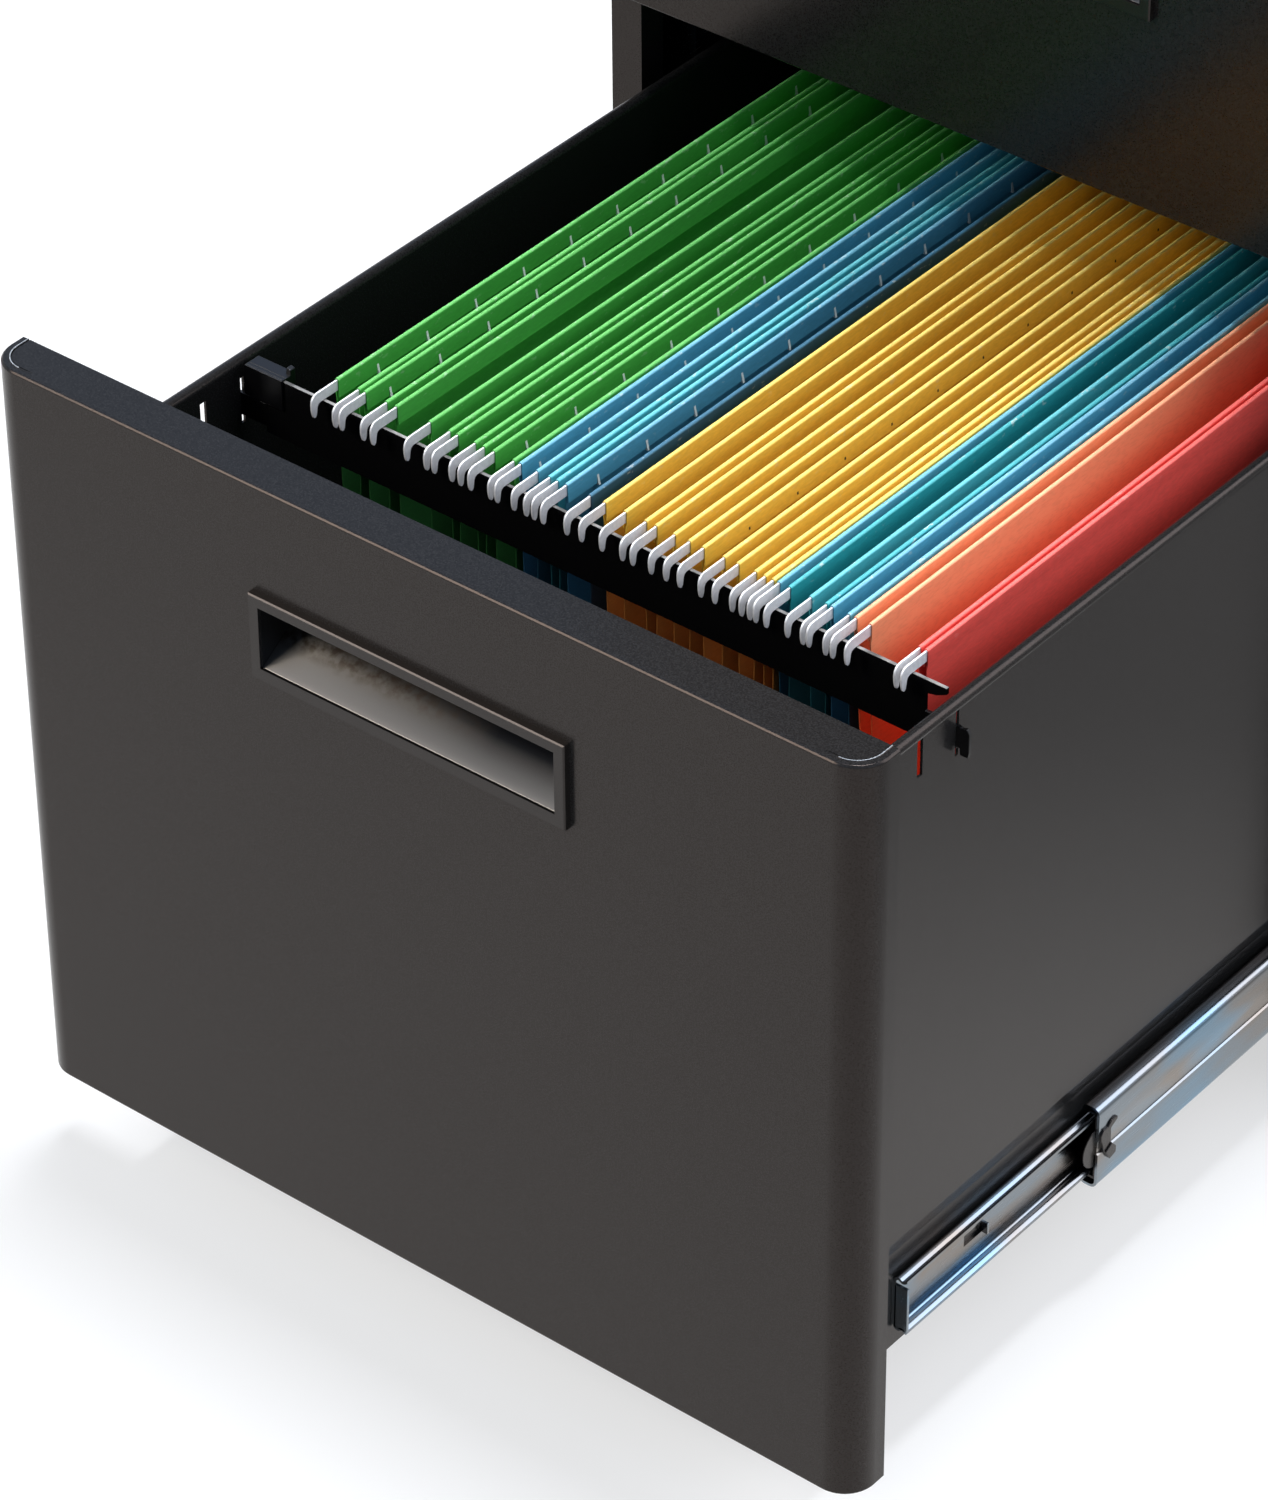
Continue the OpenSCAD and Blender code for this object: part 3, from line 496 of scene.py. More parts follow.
def prisms(name, parts, slot, body, bevel=0.0, angle=SHARP, segments=2):
    points, faces = [], []
    for outline, axis, low, high in parts:
        more, more_faces = prism_data(outline, axis, low, high)
        faces += [[len(points) + i for i in face] for face in more_faces]
        points += more
    mesh = mesh_from(name, points, faces, True)
    smooth(mesh, angle)
    made = finish_piece(name, mesh, slot, body)
    if bevel:
        soften(made, bevel, segments)
    return made


def shift(outline, dx, dy):
    return [(a + dx, b + dy) for a, b in outline]


def arc(cx, cy, radius, a0, a1, steps):
    return [(cx + radius * math.cos(math.radians(a0 + (a1 - a0) * i / steps)),
             cy + radius * math.sin(math.radians(a0 + (a1 - a0) * i / steps)))
            for i in range(steps + 1)]


triangle = [(0, 0), (1, 0), (0, 1)]
print("a prism on a triangle has", len(prism_data(triangle, "z", 0, 1)[1]), "faces")

# %% [markdown]
# ## Drawer fronts
#
# A front is one sheet, folded back at the sides with a wide radius. Its folds at the top and
# bottom show in the photograph as a narrow band of even brightness, so they are drawn as a flat
# facet with softened ends. At the top corners the top is welded to the side, and the seam
# shows as a fine curved line: a low bead in a lighter paint, which is a painted highlight, and
# a groove beside it.
#
# The grid runs round the plan of the front column by column, and from the bottom fold over the
# face to the top fold row by row.

# %% Grid of a front
CORNER = 13.0       # radius of the upright edges
CORNER_STEPS = 14   # faces round one of them
FOLD = 1.0          # size of the top and bottom folds
FOLD_LINE = [(1.0, 0.0), (0.78, 0.06), (0.6, 0.2), (0.2, 0.6), (0.06, 0.78), (0.0, 1.0)]
# The seam on the top: distance from the edge, and drop below the top (less than 0 is above)
SEAM = [(2.8, 0), (3.0, -0.25), (3.4, -0.25), (3.6, 0.4), (3.9, 0.4), (4.0, 0)]


# Each column has its place in x and y, and the direction that points out of the front there
def plan_columns(half, depth, stops):
    columns = [(half, depth, 1, 0), (half, CORNER + 0.01, 1, 0)]
    for x, y in arc(0, 0, 1, 0, -90, CORNER_STEPS):
        columns.append((half - CORNER + CORNER * x, CORNER + CORNER * y, x, y))
    mirrored = [(-x, y, -nx, ny) for x, y, nx, ny in reversed(columns)]
    return columns + [(x, 0, 0, -1) for x in stops] + mirrored


def front_grid(low, high, columns, rows):
    grid = [[(x - nx * inset, low.y + y - ny * inset, low.z + z) for x, y, nx, ny in columns]
            for z, inset in rows]
    corner_x = (high.x - low.x) / 2 - CORNER - 1
    for inset, drop in SEAM:
        grid.append([(x - nx * inset, low.y + y - ny * inset,
                      high.z - (drop if abs(x) > corner_x else 0)) for x, y, nx, ny in columns])
    return grid


print("columns of a front with one stop:", len(plan_columns(100, 18, [0])))

# %% [markdown]
# The hole for the pull is a little smaller than the pull's rim, and the quad behind the pull is
# left out for it. The skin is open at the back. The file drawer has its liner as a piece of its
# own, and the two box drawers get one here, a second sheet with its own hole.

# %% Fronts
SHEET = 1.2         # thickness of the fronts and the cap
LAP = 1.0           # how far a pull's rim covers the edge of its hole
HOLE_TALL = 33.2


def front(name, source, pull, body, lined):
    low, high = box_mm(source)
    pull_high = box_mm(pull)[1]
    half, depth, height = (high.x - low.x) / 2, high.y - low.y, high.z - low.z
    hole = pull_high.x - LAP
    hole_top = pull_high.z - low.z - LAP
    hole_low = hole_top - HOLE_TALL
    columns = plan_columns(half, depth, [half - CORNER - 6, hole, -hole, 6 + CORNER - half])
    rows = [(FOLD * b, FOLD * a) for a, b in FOLD_LINE]
    first = len(rows)
    rows += [(hole_low, 0), (hole_top, 0)]
    rows += [(height - z, inset) for z, inset in reversed(rows[:first])]
    grid = front_grid(low, high, columns, rows)
    count = len(columns)
    pull_column = columns.index((hole, 0, 0, -1))
    faces = grid_faces(len(grid), count, lambda i, j: i == first and j == pull_column)
    last = (len(grid) - 1) * count
    faces.append([last + j for j in range(count)])
    faces.append([count - 1 - j for j in range(count)])
    mesh = mesh_from(name, [p for row in grid for p in row], faces, False)
    orient(mesh, lambda made: sum(face.normal.y * face.calc_area() for face in made) > 0)
    smooth(mesh)
    made = finish_piece(name, mesh, "case_paint", body)
    # The raised faces of the seam's bead get the lighter paint, a painted highlight
    mesh.materials.append(seam_highlight_paint)
    for seam in mesh.polygons:
        if seam.center.z * 1000 > high.z + 0.2:
            seam.material_index = 1
    thicken(made, SHEET, -1)
    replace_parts(made, source)
    if lined:
        y, inner, cut = high.y - 0.5, half - SHEET, hole - 0.4
        xs = [-inner, -cut, cut, inner]
        zs = [low.z + SHEET, low.z + hole_low - 3, low.z + hole_top, high.z - SHEET]
        back = sheet(name + "_liner", [[(x, y, z) for x in xs] for z in zs], "case_paint",
                     body, 1.0, lambda i, j: i == 1 and j == 1)
        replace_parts(back, source)


front("file_front_skin", "file_front", "file_pull_frame", "file_drawer", False)
front("middle_front_skin", "middle_front", "middle_pull_frame", "middle_drawer", True)
front("upper_front_skin", "upper_front", "upper_pull_frame", "upper_drawer", True)
print("fronts: 3, corner radius", CORNER, "mm")

# %% [markdown]
# ## Pull frames
#
# A pull is a black moulded frame with a bent sheet of plated steel as its floor. The frame
# stands 3 mm proud of the front. Its outer edge has a flat chamfer at 45 degrees that catches a
# line of light, and its inner edge is rounded a little. Rings of four points each follow the
# section, from the front's skin over the face into the opening. Behind the opening lie the
# walls of the recess, in a darker copy of the plastic that is painted shade, and round them a
# housing that is open at the front.

# %% Pull frames
RIM, RIM_LOW = 4.5, 5.2     # width of the frame above and beside the opening, and below it
OPEN_H = 25.5               # height of the opening
PULL_DEEP = 25.0            # depth behind the front
PROUD = 3.0
CHAMFER = 0.5
ROUND, ROUND_MID = 0.25, 0.07
INNER_EDGE = 1.6            # depth of the moulded inner edge
RECESS_DROP = 1.8           # how far the recess reaches below the opening
WALL_GAP = 1.1              # how far the housing lies inside the frame's outline


def pull_frame(name, source, body):
    low, high = box_mm(source)
    face = low.y + PROUD
    half, top = high.x, high.z
    inner = half - RIM
    open_top = top - RIM
    open_low = open_top - OPEN_H
    bottom = open_low - RIM_LOW
    ring = [
        (half, face + 1.0, bottom, top), (half, low.y + CHAMFER, bottom, top),
        (half - CHAMFER, low.y, bottom + CHAMFER, top - CHAMFER),
        (inner + ROUND, low.y, open_low - ROUND, open_top + ROUND),
        (inner + ROUND_MID, low.y + ROUND_MID, open_low - ROUND_MID, open_top + ROUND_MID),
        (inner, low.y + ROUND, open_low, open_top),
        (inner, low.y + INNER_EDGE, open_low, open_top),
    ]
    points = []
    for x, y, z0, z1 in ring:
        points += [(x, y, z0), (x, y, z1), (-x, y, z1), (-x, y, z0)]
    faces = [[4 * i + j, 4 * i + (j + 1) % 4, 4 * i + 4 + (j + 1) % 4, 4 * i + 4 + j]
             for i in range(len(ring) - 1) for j in range(4)]
    near, deep, floor_z = low.y + INNER_EDGE, face + PULL_DEEP - 1.4, open_low - RECESS_DROP
    a = len(points)
    b = a + 4
    for x in (inner, -inner):
        points += [(x, near, open_top), (x, near, floor_z), (x, deep, floor_z), (x, deep, open_top)]
    recess = [[a, a + 1, a + 2, a + 3], [b, b + 3, b + 2, b + 1], [a, a + 3, b + 3, b],
              [a + 3, a + 2, b + 2, b + 3], [a + 1, b + 1, b + 2, a + 2]]
    mesh = mesh_from(name, points, faces + recess, False)
    smooth(mesh, 40)
    made = finish_piece(name, mesh, "black_plastic", body)
    # The walls of the recess take the darker copy of the plastic, painted shade
    mesh.materials.append(recess_shade_plastic)
    for inside in list(mesh.polygons)[-len(recess):]:
        inside.material_index = 1
    keep_flat(made)
    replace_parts(made, source)
    wall, z0, z1 = half - WALL_GAP, bottom - 2.0, top - WALL_GAP
    shell = []
    for y in (face + 1.5, face + PULL_DEEP):
        shell += [(wall, y, z0), (wall, y, z1), (-wall, y, z1), (-wall, y, z0)]
    shell_faces = [[i, (i + 1) % 4, 4 + (i + 1) % 4, 4 + i] for i in range(4)] + [[4, 5, 6, 7]]
    shell_mesh = mesh_from(name + "_housing", shell, shell_faces, False)
    housing = finish_piece(name + "_housing", shell_mesh, "black_plastic", body)
    soften(housing, 0.8)
    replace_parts(housing, source)


DRAWERS = ("file", "middle", "upper")
for drawer in DRAWERS:
    pull_frame(drawer + "_pull_moulding", drawer + "_pull_frame", drawer + "_drawer")
print("pull frames:", len(DRAWERS), "opening", OPEN_H, "mm high")

# %% [markdown]
# ## Pull floors
#
# The plated floor of a pull has a rounded lip, rises towards the back and turns up behind the
# frame. The black end walls show again as dark wedges in its shine. One line through the lip,
# the slope and the turn, pushed along the pull, gives the sheet.

# %% Pull floors
LIP, LIP_TURN = 2.2, 56     # radius of the lip, and degrees that it turns
LIP_PROUD, LIP_DROP = 2.55, 1.6
SLOPE = math.radians(34)
TURN = 17.0                 # radius of the turn at the back


def pull_cup(name, source, frame_name, body):
    high = box_mm(source)[1]
    frame_low, frame_high = box_mm(frame_name)
    sill = frame_high.z - RIM - OPEN_H
    line = arc(frame_low.y + PROUD - LIP_PROUD + LIP, sill - LIP_DROP, LIP,
               180, 180 - LIP_TURN, 5)
    start_y, start_z = line[-1]
    turn_y = high.y - 0.8 - TURN * (1 - math.sin(SLOPE))
    turn_z = start_z + math.tan(SLOPE) * (turn_y - start_y)
    line += [(start_y + (turn_y - start_y) * t, start_z + (turn_z - start_z) * t)
             for t in (0.1, 0.3, 0.5, 0.7, 0.9)]
    for i in range(13):
        a = SLOPE + (math.pi / 2 - SLOPE) * i / 12
        line.append((turn_y + TURN * (math.sin(a) - math.sin(SLOPE)),
                     min(turn_z + TURN * (math.cos(SLOPE) - math.cos(a)), sill + OPEN_H - 0.3)))
    xs = [-high.x, -high.x + 1, 0, high.x - 1, high.x]
    grid = [[(x, y, z) for x in xs] for y, z in line]
    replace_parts(sheet(name, grid, "plated_cup", body, 0.5, offset=-1), source)


for drawer in DRAWERS:
    pull_cup(drawer + "_pull_floor", drawer + "_pull_cup", drawer + "_pull_frame",
             drawer + "_drawer")
print("pull floors:", len(DRAWERS), "slope", round(math.degrees(SLOPE)), "degrees")

# %% [markdown]
# ## Top cap
#
# The cap is a deep lid with the same rounded front corners. Only its outside shows, so one skin
# with a folded top edge is enough.

# %% Cap
CAP_EDGE = 1.5      # radius of the folded top edge, and size of the cut at the back corners
low, high = box_mm("top_cap")
half, depth = high.x, high.y - low.y
columns = plan_columns(half, depth - CAP_EDGE, [half - CORNER - 6, 0, 6 + CORNER - half])
columns = [(half - CAP_EDGE, depth, 0, 1)] + columns + [(CAP_EDGE - half, depth, 0, 1)]
cap_rows = [(low.z, 0)] + [(high.z - CAP_EDGE + CAP_EDGE * math.sin(math.radians(a)),
                            CAP_EDGE - CAP_EDGE * math.cos(math.radians(a)))
                           for a in (0, 18, 36, 54, 72, 90)]
cap_points = [(x - nx * inset, low.y + y - ny * inset, z)
              for z, inset in cap_rows for x, y, nx, ny in columns]
count = len(columns)
cap_faces = [[i * count + j, i * count + (j + 1) % count, (i + 1) * count + (j + 1) % count,
              (i + 1) * count + j] for i in range(len(cap_rows) - 1) for j in range(count)]
cap_faces.append([(len(cap_rows) - 1) * count + j for j in range(count)])
cap_mesh = mesh_from("cap_skin", cap_points, cap_faces, True)
smooth(cap_mesh)
cap = finish_piece("cap_skin", cap_mesh, "case_paint", "cabinet")
thicken(cap, SHEET, -1)
print("cap:", round(depth), "mm deep")

# %% [markdown]
# The lock passes through a round hole in the front of the cap. A Boolean modifier takes a
# cylinder away from the skin, as a punch would, and its result is kept as the mesh, so the
# cylinder can go.

# %% Hole for the lock
HOLE_RADIUS, HOLE_SIDES, PUNCH_REACH = 9.6, 64, 5
lock_low, lock_high = box_mm("lock_housing")
lock_x, lock_z = (lock_low.x + lock_high.x) / 2, (lock_low.z + lock_high.z) / 2
rim = arc(lock_x, lock_z, HOLE_RADIUS, 0, 360, HOLE_SIDES)[:-1]
punch_points, punch_faces = prism_data(rim, "y", low.y - PUNCH_REACH, low.y + PUNCH_REACH)
punch_mesh = mesh_from("punch", punch_points, punch_faces, True)
punch = bpy.data.objects.new("punch", punch_mesh)
bpy.context.collection.objects.link(punch)
cut = cap.modifiers.new("lock hole", "BOOLEAN")
cut.operation, cut.solver, cut.object = "DIFFERENCE", "EXACT", punch
punched = bpy.data.meshes.new_from_object(
    cap.evaluated_get(bpy.context.evaluated_depsgraph_get()))
cap.modifiers.clear()
cap.data = punched
smooth(punched)
bpy.data.objects.remove(punch)
bpy.data.meshes.remove(punch_mesh)
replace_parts(cap, "top_cap")
print("lock hole at", round(lock_x, 2), round(lock_z, 2), "cap faces", len(punched.polygons))

# %% [markdown]
# ## Sides of the file drawer
#
# A side is a tall sheet with a small step above the slide and a rolled upper edge. The roll
# makes the edge stiff and safe to touch. The slots take the ends of the hanging rails. The grid
# follows the bends from bottom to top, and the rows and columns have lines at the edges of the
# slots, so that leaving out a quad cuts a slot.

# %% File drawer sides
file_low = box_mm("file_front")[0]
FILE_Y, FILE_Z = file_low.y, file_low.z
SIDE_X, WALL_X = 157.6, 158.8       # outside of the sheet below the step and above it
SIDE_LOW, SIDE_TOP = 8.5, 281.0
SIDE_START = 18.5
SIDE_SHEET, BEAD = 1.0, 2.4         # thickness, and radius of the rolled edge
DRAWER_BACK = box_mm("file_side_right")[1].y
RAIL_Y, RAIL_BACK_Y, SPARE_Y = 93.0, 405.0, 72.5
SLOT_HALF, SPARE_HALF = 0.85, 1.5
SLOT_LOW, SPARE_LOW, SLOT_TOP = 254.2, 257.7, 273.2


def file_side(name, source, s):
    t = SIDE_SHEET / 2
    x0, x1 = SIDE_X - t, WALL_X - t
    line = [(x0, SIDE_LOW), (x0, 40), (x0, 52.3), (x0 + 0.06, 52.75), (x0 + 0.25, 53.3),
            (x1 - 0.25, 57.7), (x1 - 0.06, 58.2), (x1, 58.7), (x1, 160), (x1, SLOT_LOW),
            (x1, SPARE_LOW), (x1, SLOT_TOP), (x1, 276.5)]
    line += arc(WALL_X + 1.4, SIDE_TOP - BEAD, BEAD - t, 180, -120, 20)
    stops = [FILE_Y + SIDE_START]
    for y, half in ((SPARE_Y, SPARE_HALF), (RAIL_Y, SLOT_HALF), (RAIL_BACK_Y, SLOT_HALF)):
        stops += [FILE_Y + y - half, FILE_Y + y + half]
    stops.append(DRAWER_BACK)
    grid = [[(s * x, y, FILE_Z + z) for y in stops] for x, z in line]
    low_row, spare_row = line.index((x1, SLOT_LOW)), line.index((x1, SPARE_LOW))

    def slot(i, j):
        return (j == 1 and i == spare_row) or (j in (3, 5) and i in (low_row, spare_row))

    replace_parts(sheet(name, grid, "case_paint", "file_drawer", SIDE_SHEET, slot), source)


file_side("file_side_skin_right", "file_side_right", 1)
file_side("file_side_skin_left", "file_side_left", -1)
print("side height:", SIDE_TOP - SIDE_LOW, "mm")

# %% [markdown]
# A small bent tab on the right side meets the lock bar when the lock is turned. It is drawn as
# a plain block.

# %% Catch tab
catch_box = [(WALL_X - 0.5, 27.0), (WALL_X + 6, 27.0), (WALL_X + 6, 29.0), (WALL_X - 0.5, 29.0)]
catch = prisms("file_catch_tab", [(shift(catch_box, 0, FILE_Y), "z", FILE_Z + 75, FILE_Z + 83)],
               "case_paint", "file_drawer", 0.2)
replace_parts(catch, "file_catch")
print("catch tab:", len(catch.data.polygons), "faces before its bevel")

# %% [markdown]
# ## Hanging rails
#
# A rail is a flat steel strip on edge. At each end a hook goes through a slot of the side and
# drops over the slot's lower edge, and a short tongue rests inside. The faces along its upper
# edge get a second, lighter material: a painted highlight.

# %% Rails
RAIL_TOP, RAIL_HALF = 280.2, 0.75
RAIL_END = [(146.1, 255.2), (146.1, 257.7), (159.2, 257.7), (159.2, 258.4), (160.4, 258.4),
            (160.6, 255.7), (163.9, 255.7), (164.3, 258.0), (164.3, 265.6), (163.2, 267.2),
            (161.0, 266.6), (159.6, 267.2), (146.1, 267.2), (146.1, 274.6), (150.5, 275.6),
            (154.6, 277.6), (154.6, RAIL_TOP)]


def rail(name, source, y):
    outline = RAIL_END + [(-x, z) for x, z in reversed(RAIL_END)]
    made = prisms(name, [(shift(outline, 0, FILE_Z), "y", y - RAIL_HALF, y + RAIL_HALF)],
                  "black_steel", "file_drawer", 0.25)
    made.data.materials.append(rail_top_highlight)
    # The top faces take the lighter material, a painted highlight
    for face in made.data.polygons:
        if face.normal.z > 0.9 and face.center.z * 1000 > FILE_Z + RAIL_TOP - 0.1:
            face.material_index = 1
    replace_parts(made, source)


front_y, back_y = FILE_Y + RAIL_Y, FILE_Y + RAIL_BACK_Y
rail("rail_front_strip", "rail_front", front_y)
rail("rail_rear_strip", "rail_rear", back_y)
print("rails: 2,", RAIL_BACK_Y - RAIL_Y, "mm apart")

# %% [markdown]
# A clip of black plastic keeps the left end of each rail in place. It has a thin cheek and a
# thick one, with the rail between them, a bridge over the rail, and a small tab to lift it by.

# %% Rail clips
CLIP_X0, CLIP_X1 = -155.2, -137.0
CLIP_LOW, CLIP_TOP = FILE_Z + 268.2, FILE_Z + 281.0
NEAR, THIN, THICK = 0.8, 1.65, 5.8      # distances from the middle of the rail
TAB_WIDE = 2.5
CHEEK = [(CLIP_X0, CLIP_LOW), (CLIP_X1, CLIP_LOW), (CLIP_X1, CLIP_TOP),
         (CLIP_X0 + 0.8, CLIP_TOP), (CLIP_X0, CLIP_TOP - 1.2)]
LIFT_TAB = [(CLIP_X1 - 2.5, CLIP_TOP - 0.5), (CLIP_X1, CLIP_TOP - 0.5),
            (CLIP_X1, CLIP_TOP + 2.0), (CLIP_X1 - 1.9, CLIP_TOP + 2.5)]
BRIDGE = [(CLIP_X0, FILE_Z + RAIL_TOP), (CLIP_X1, FILE_Z + RAIL_TOP), (CLIP_X1, CLIP_TOP),
          (CLIP_X0 + 0.8, CLIP_TOP)]
clip_list = [(CHEEK, "y", front_y - THIN, front_y - NEAR),
             (LIFT_TAB, "y", front_y + 3.3, front_y + 3.3 + TAB_WIDE),
             (CHEEK, "y", front_y + NEAR, front_y + THICK),
             (CHEEK, "y", back_y - THICK, back_y - NEAR),
             (LIFT_TAB, "y", back_y - THICK, back_y - THICK + TAB_WIDE),
             (CHEEK, "y", back_y + NEAR, back_y + THIN)]
clip_list += [(BRIDGE, "y", y - NEAR, y + NEAR) for y in (front_y, back_y)]
clips = prisms("rail_clip_mouldings", clip_list, "black_plastic", "file_drawer", 0.25)
clips.data.materials[0] = nylon
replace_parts(clips, "rail_clips")
print("clips: 2, of", len(clip_list), "blocks")

# %% [markdown]
# ## Hanging folders
#
# Each folder is a folded card with two leaves. The top of each leaf is folded over a steel rod
# and glued down: the hem. The leaves hang from their rods, bow a little and meet in the fold at
# the bottom. Each entry below has the place of the left rod, the distance to the right rod and
# how far the fold leans, as counted and measured in the photograph.

# %% Folder positions
FOLDERS = {
    "green": [(-118.5, 10, 0), (-105.5, 10, 0), (-91, 15.5, 0), (-66.5, 3.5, 2),
              (-55, 4, 1), (-46.5, 9, 0)],
    "blue": [(-34.5, 7.5, 0), (-21.5, 3.5, 1), (-14, 10.5, 0)],
    "yellow": [(3, 9, 0), (21, 4.5, 0), (33.5, 6.5, 0), (46, 9, 0), (61, 7.5, 0), (72.5, 3.5, 0)],
    "teal": [(78.5, 4.5, 3), (92, 6.5, 1), (101, 7, 4)],
    "orange": [(111, 6, 12)],
    "red": [(137.5, 2.8, 10)],
}
card_low, card_high = box_mm("folders_green")
HEM_TOP, FOLD_Z = card_high.z, card_low.z
CARD_Y0, CARD_LONG = card_low.y, card_high.y - card_low.y
print("folders:", sum(len(group) for group in FOLDERS.values()), "length", round(CARD_LONG))

# %% [markdown]
# The leaf is a sheet whose rows run down the card and whose columns run along the drawer. A
# slow wave along the leaf, strongest half way down and none at the rod, keeps it from looking
# like a plate. The wave stays smaller than the space to the next folder.

# %% Shape of a leaf
HEM_HALF = 0.62             # half the width of the hem, to the middle of the card
FLAP, HEM_FOOT = 7.8, 8.5   # how far the glued flap and the hem reach down
LEAF_OUT = 0.35             # how far outward of the rod, and of the fold's middle, a leaf hangs
DOWN_STEPS, ALONG_STEPS = 8, 16


def leaf_line(x_rod, x_fold, inward):
    r, rod_z, foot_z = HEM_HALF, HEM_TOP - 0.25 - HEM_HALF, HEM_TOP - HEM_FOOT
    line = [(x_rod + inward * (r + 0.2), HEM_TOP - FLAP),
            (x_rod + inward * r, HEM_TOP - FLAP + 2.5), (x_rod + inward * r, rod_z)]
    line += [(x_rod + inward * r * math.cos(math.radians(a)),
              rod_z + r * math.sin(math.radians(a))) for a in (30, 60, 90, 120, 150)]
    line += [(x_rod - inward * r, rod_z), (x_rod - inward * r, HEM_TOP - 5.5),
             (x_rod - inward * 0.3, foot_z)]
    deep = foot_z - FOLD_Z - 0.4
    for i in range(1, DOWN_STEPS + 1):
        t = i / DOWN_STEPS
        x = x_rod + (x_fold - x_rod) * t - inward * LEAF_OUT * (1 - t)
        line.append((x, foot_z - deep * t))
    return line


def leaf(x_rod, x_fold, inward, wave, seed):
    grid = []
    for x, z in leaf_line(x_rod, x_fold, inward):
        down = max(0.0, (HEM_TOP - 6 - z) / (HEM_TOP - FOLD_Z))
        swell = wave * math.sin(math.pi * min(1.0, down * 1.15))
        grid.append([(x + swell * math.sin(seed + 2.2 * math.pi * j / ALONG_STEPS),
                      CARD_Y0 + CARD_LONG * j / ALONG_STEPS, z)
                     for j in range(ALONG_STEPS + 1)])
    return grid


print("points in a leaf's section:", len(leaf_line(0, 0, 1)))

# %% [markdown]
# All leaves of one colour group are one mesh. In the blue and teal groups the two leaves of a
# folder can differ in colour, so each face gets the number of its own material.

# %% Folder leaves
CARD_THICK = 0.42
# The navy card is the blue one painted darker: painted shade on a leaf in shadow
LEAF_CARD = {
    "blue": [("blue", "sky"), ("cyan", "cyan"), ("blue", "navy")],
    "teal": [("sky", "teal"), ("cyan", "teal"), ("blue", "sky")],
}


def folder_group(key, places):
    points, faces, cards = [], [], []
    for number, (left, gap, lean) in enumerate(places):
        fold_x = left + gap / 2 + lean
        wave = min(0.8, gap * 0.12)
        pair = LEAF_CARD[key][number] if key in LEAF_CARD else (key, key)
        for x_rod, inward, tint in ((left, 1, pair[0]), (left + gap, -1, pair[1])):
            grid = leaf(x_rod, fold_x - inward * LEAF_OUT, inward, wave, number * 1.7 + inward)
            more = grid_faces(len(grid), len(grid[0]), None, len(points))
            faces += more
            cards += [tint] * len(more)
            points += [p for row in grid for p in row]
    name = ("folder_" if key in ("orange", "red") else "folders_") + key
    mesh = mesh_from(name + "_card", points, faces, False)
    smooth(mesh, 60)
    made = finish_piece(name + "_card", mesh, "card_" + key, "file_drawer")
    order = [key] + sorted(set(cards) - {key})
    for tint in order[1:]:
        mesh.materials.append(CARD[tint])
    mesh.polygons.foreach_set("material_index", [order.index(tint) for tint in cards])
    thicken(made, CARD_THICK)
    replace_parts(made, name)
    return len(faces)


print("faces in the leaves:", sum(folder_group(key, places) for key, places in FOLDERS.items()))

# %% [markdown]
# A row of short slits in the hem takes label tabs, and light on the cut edges makes small pale
# ticks. On the real card they are punched through. Here nothing is cut: a pale sliver of card, a
# painted highlight, stands out from the flap by less than a millimetre, with a dark one beside
# it, painted shade for the gap. On the yellow folders only the dark ones are made.

# %% Tab slits
TICK_STEP = 26.8
SLIT_TOP = HEM_TOP - 3.9
# Each sliver has its name, material, offset along the hem, width and reach outwards
SLIVERS = (("pale", slit_highlight, 0.0, 1.0, 1.7), ("dark", slit_shade, 1.0, 0.8, 0.95))
# For each colour: height of a sliver, which ones are made, and the rods with their first slit
SLITS = {"green": (4.6, ("pale", "dark"), [(-118.5, 20.4), (-105.5, 12), (-46.5, 16)]),
         "blue": (4.6, ("pale", "dark"), [(-34.5, 9), (-14, 15.6)]),
         "yellow": (2.2, ("dark",), [(46, 23)])}


def slit_parts(tall, hems, offset, wide, out):
    parts = []
    for x, start in hems:
        sliver = [(x + 0.7, SLIT_TOP), (x + 0.7, SLIT_TOP - tall), (x + out, SLIT_TOP - tall)]
        for step in range(int((CARD_LONG - start - 6) / TICK_STEP) + 1):
            y = CARD_Y0 + start + offset + step * TICK_STEP
            parts.append((sliver, "y", y, y + wide))
    return parts


for key, (tall, tags, hems) in SLITS.items():
    for tag, look, offset, wide, out in SLIVERS:
        if tag in tags:
            ticks = prisms("tab_slits_" + key + "_" + tag,
                           slit_parts(tall, hems, offset, wide, out), "card_" + key, "file_drawer")
            ticks.data.materials.clear()
            ticks.data.materials.append(look)
            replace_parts(ticks, "folders_" + key)
print("tab slits every", TICK_STEP, "mm")

# %% [markdown]
# ## Hooks
#
# Each rod ends in a flat hook that lies on the rail and drops in front of it. The strip is
# 4 mm high and under 1 mm thick, with a rounded shoulder and a tapered tip. All forty rods have
# the same outline, so one outline is pushed to both sides of each rod's place.

# %% Hooks
ROD_Z = FILE_Z + 280.6
HOOK_REACH = 7.0        # how far a hook reaches beyond the middle of the rail
STRIP_HALF = 0.38
HOOK = [(14, 4.3), (3.2, 4.3), (1.9, 4.0), (0.9, 3.2), (0.25, 2.0), (0.02, 0.5), (0.1, -1.6),
        (0.45, -3.5), (0.95, -4.7), (1.5, -5.2), (2.1, -5.1), (2.6, -4.5), (2.85, -3.2),
        (3.1, -1.4), (3.6, -0.45), (4.6, 0.0), (14, 0.0)]


def hook_end(y0, s):
    return [(y0 + s * a, ROD_Z + b) for a, b in HOOK]


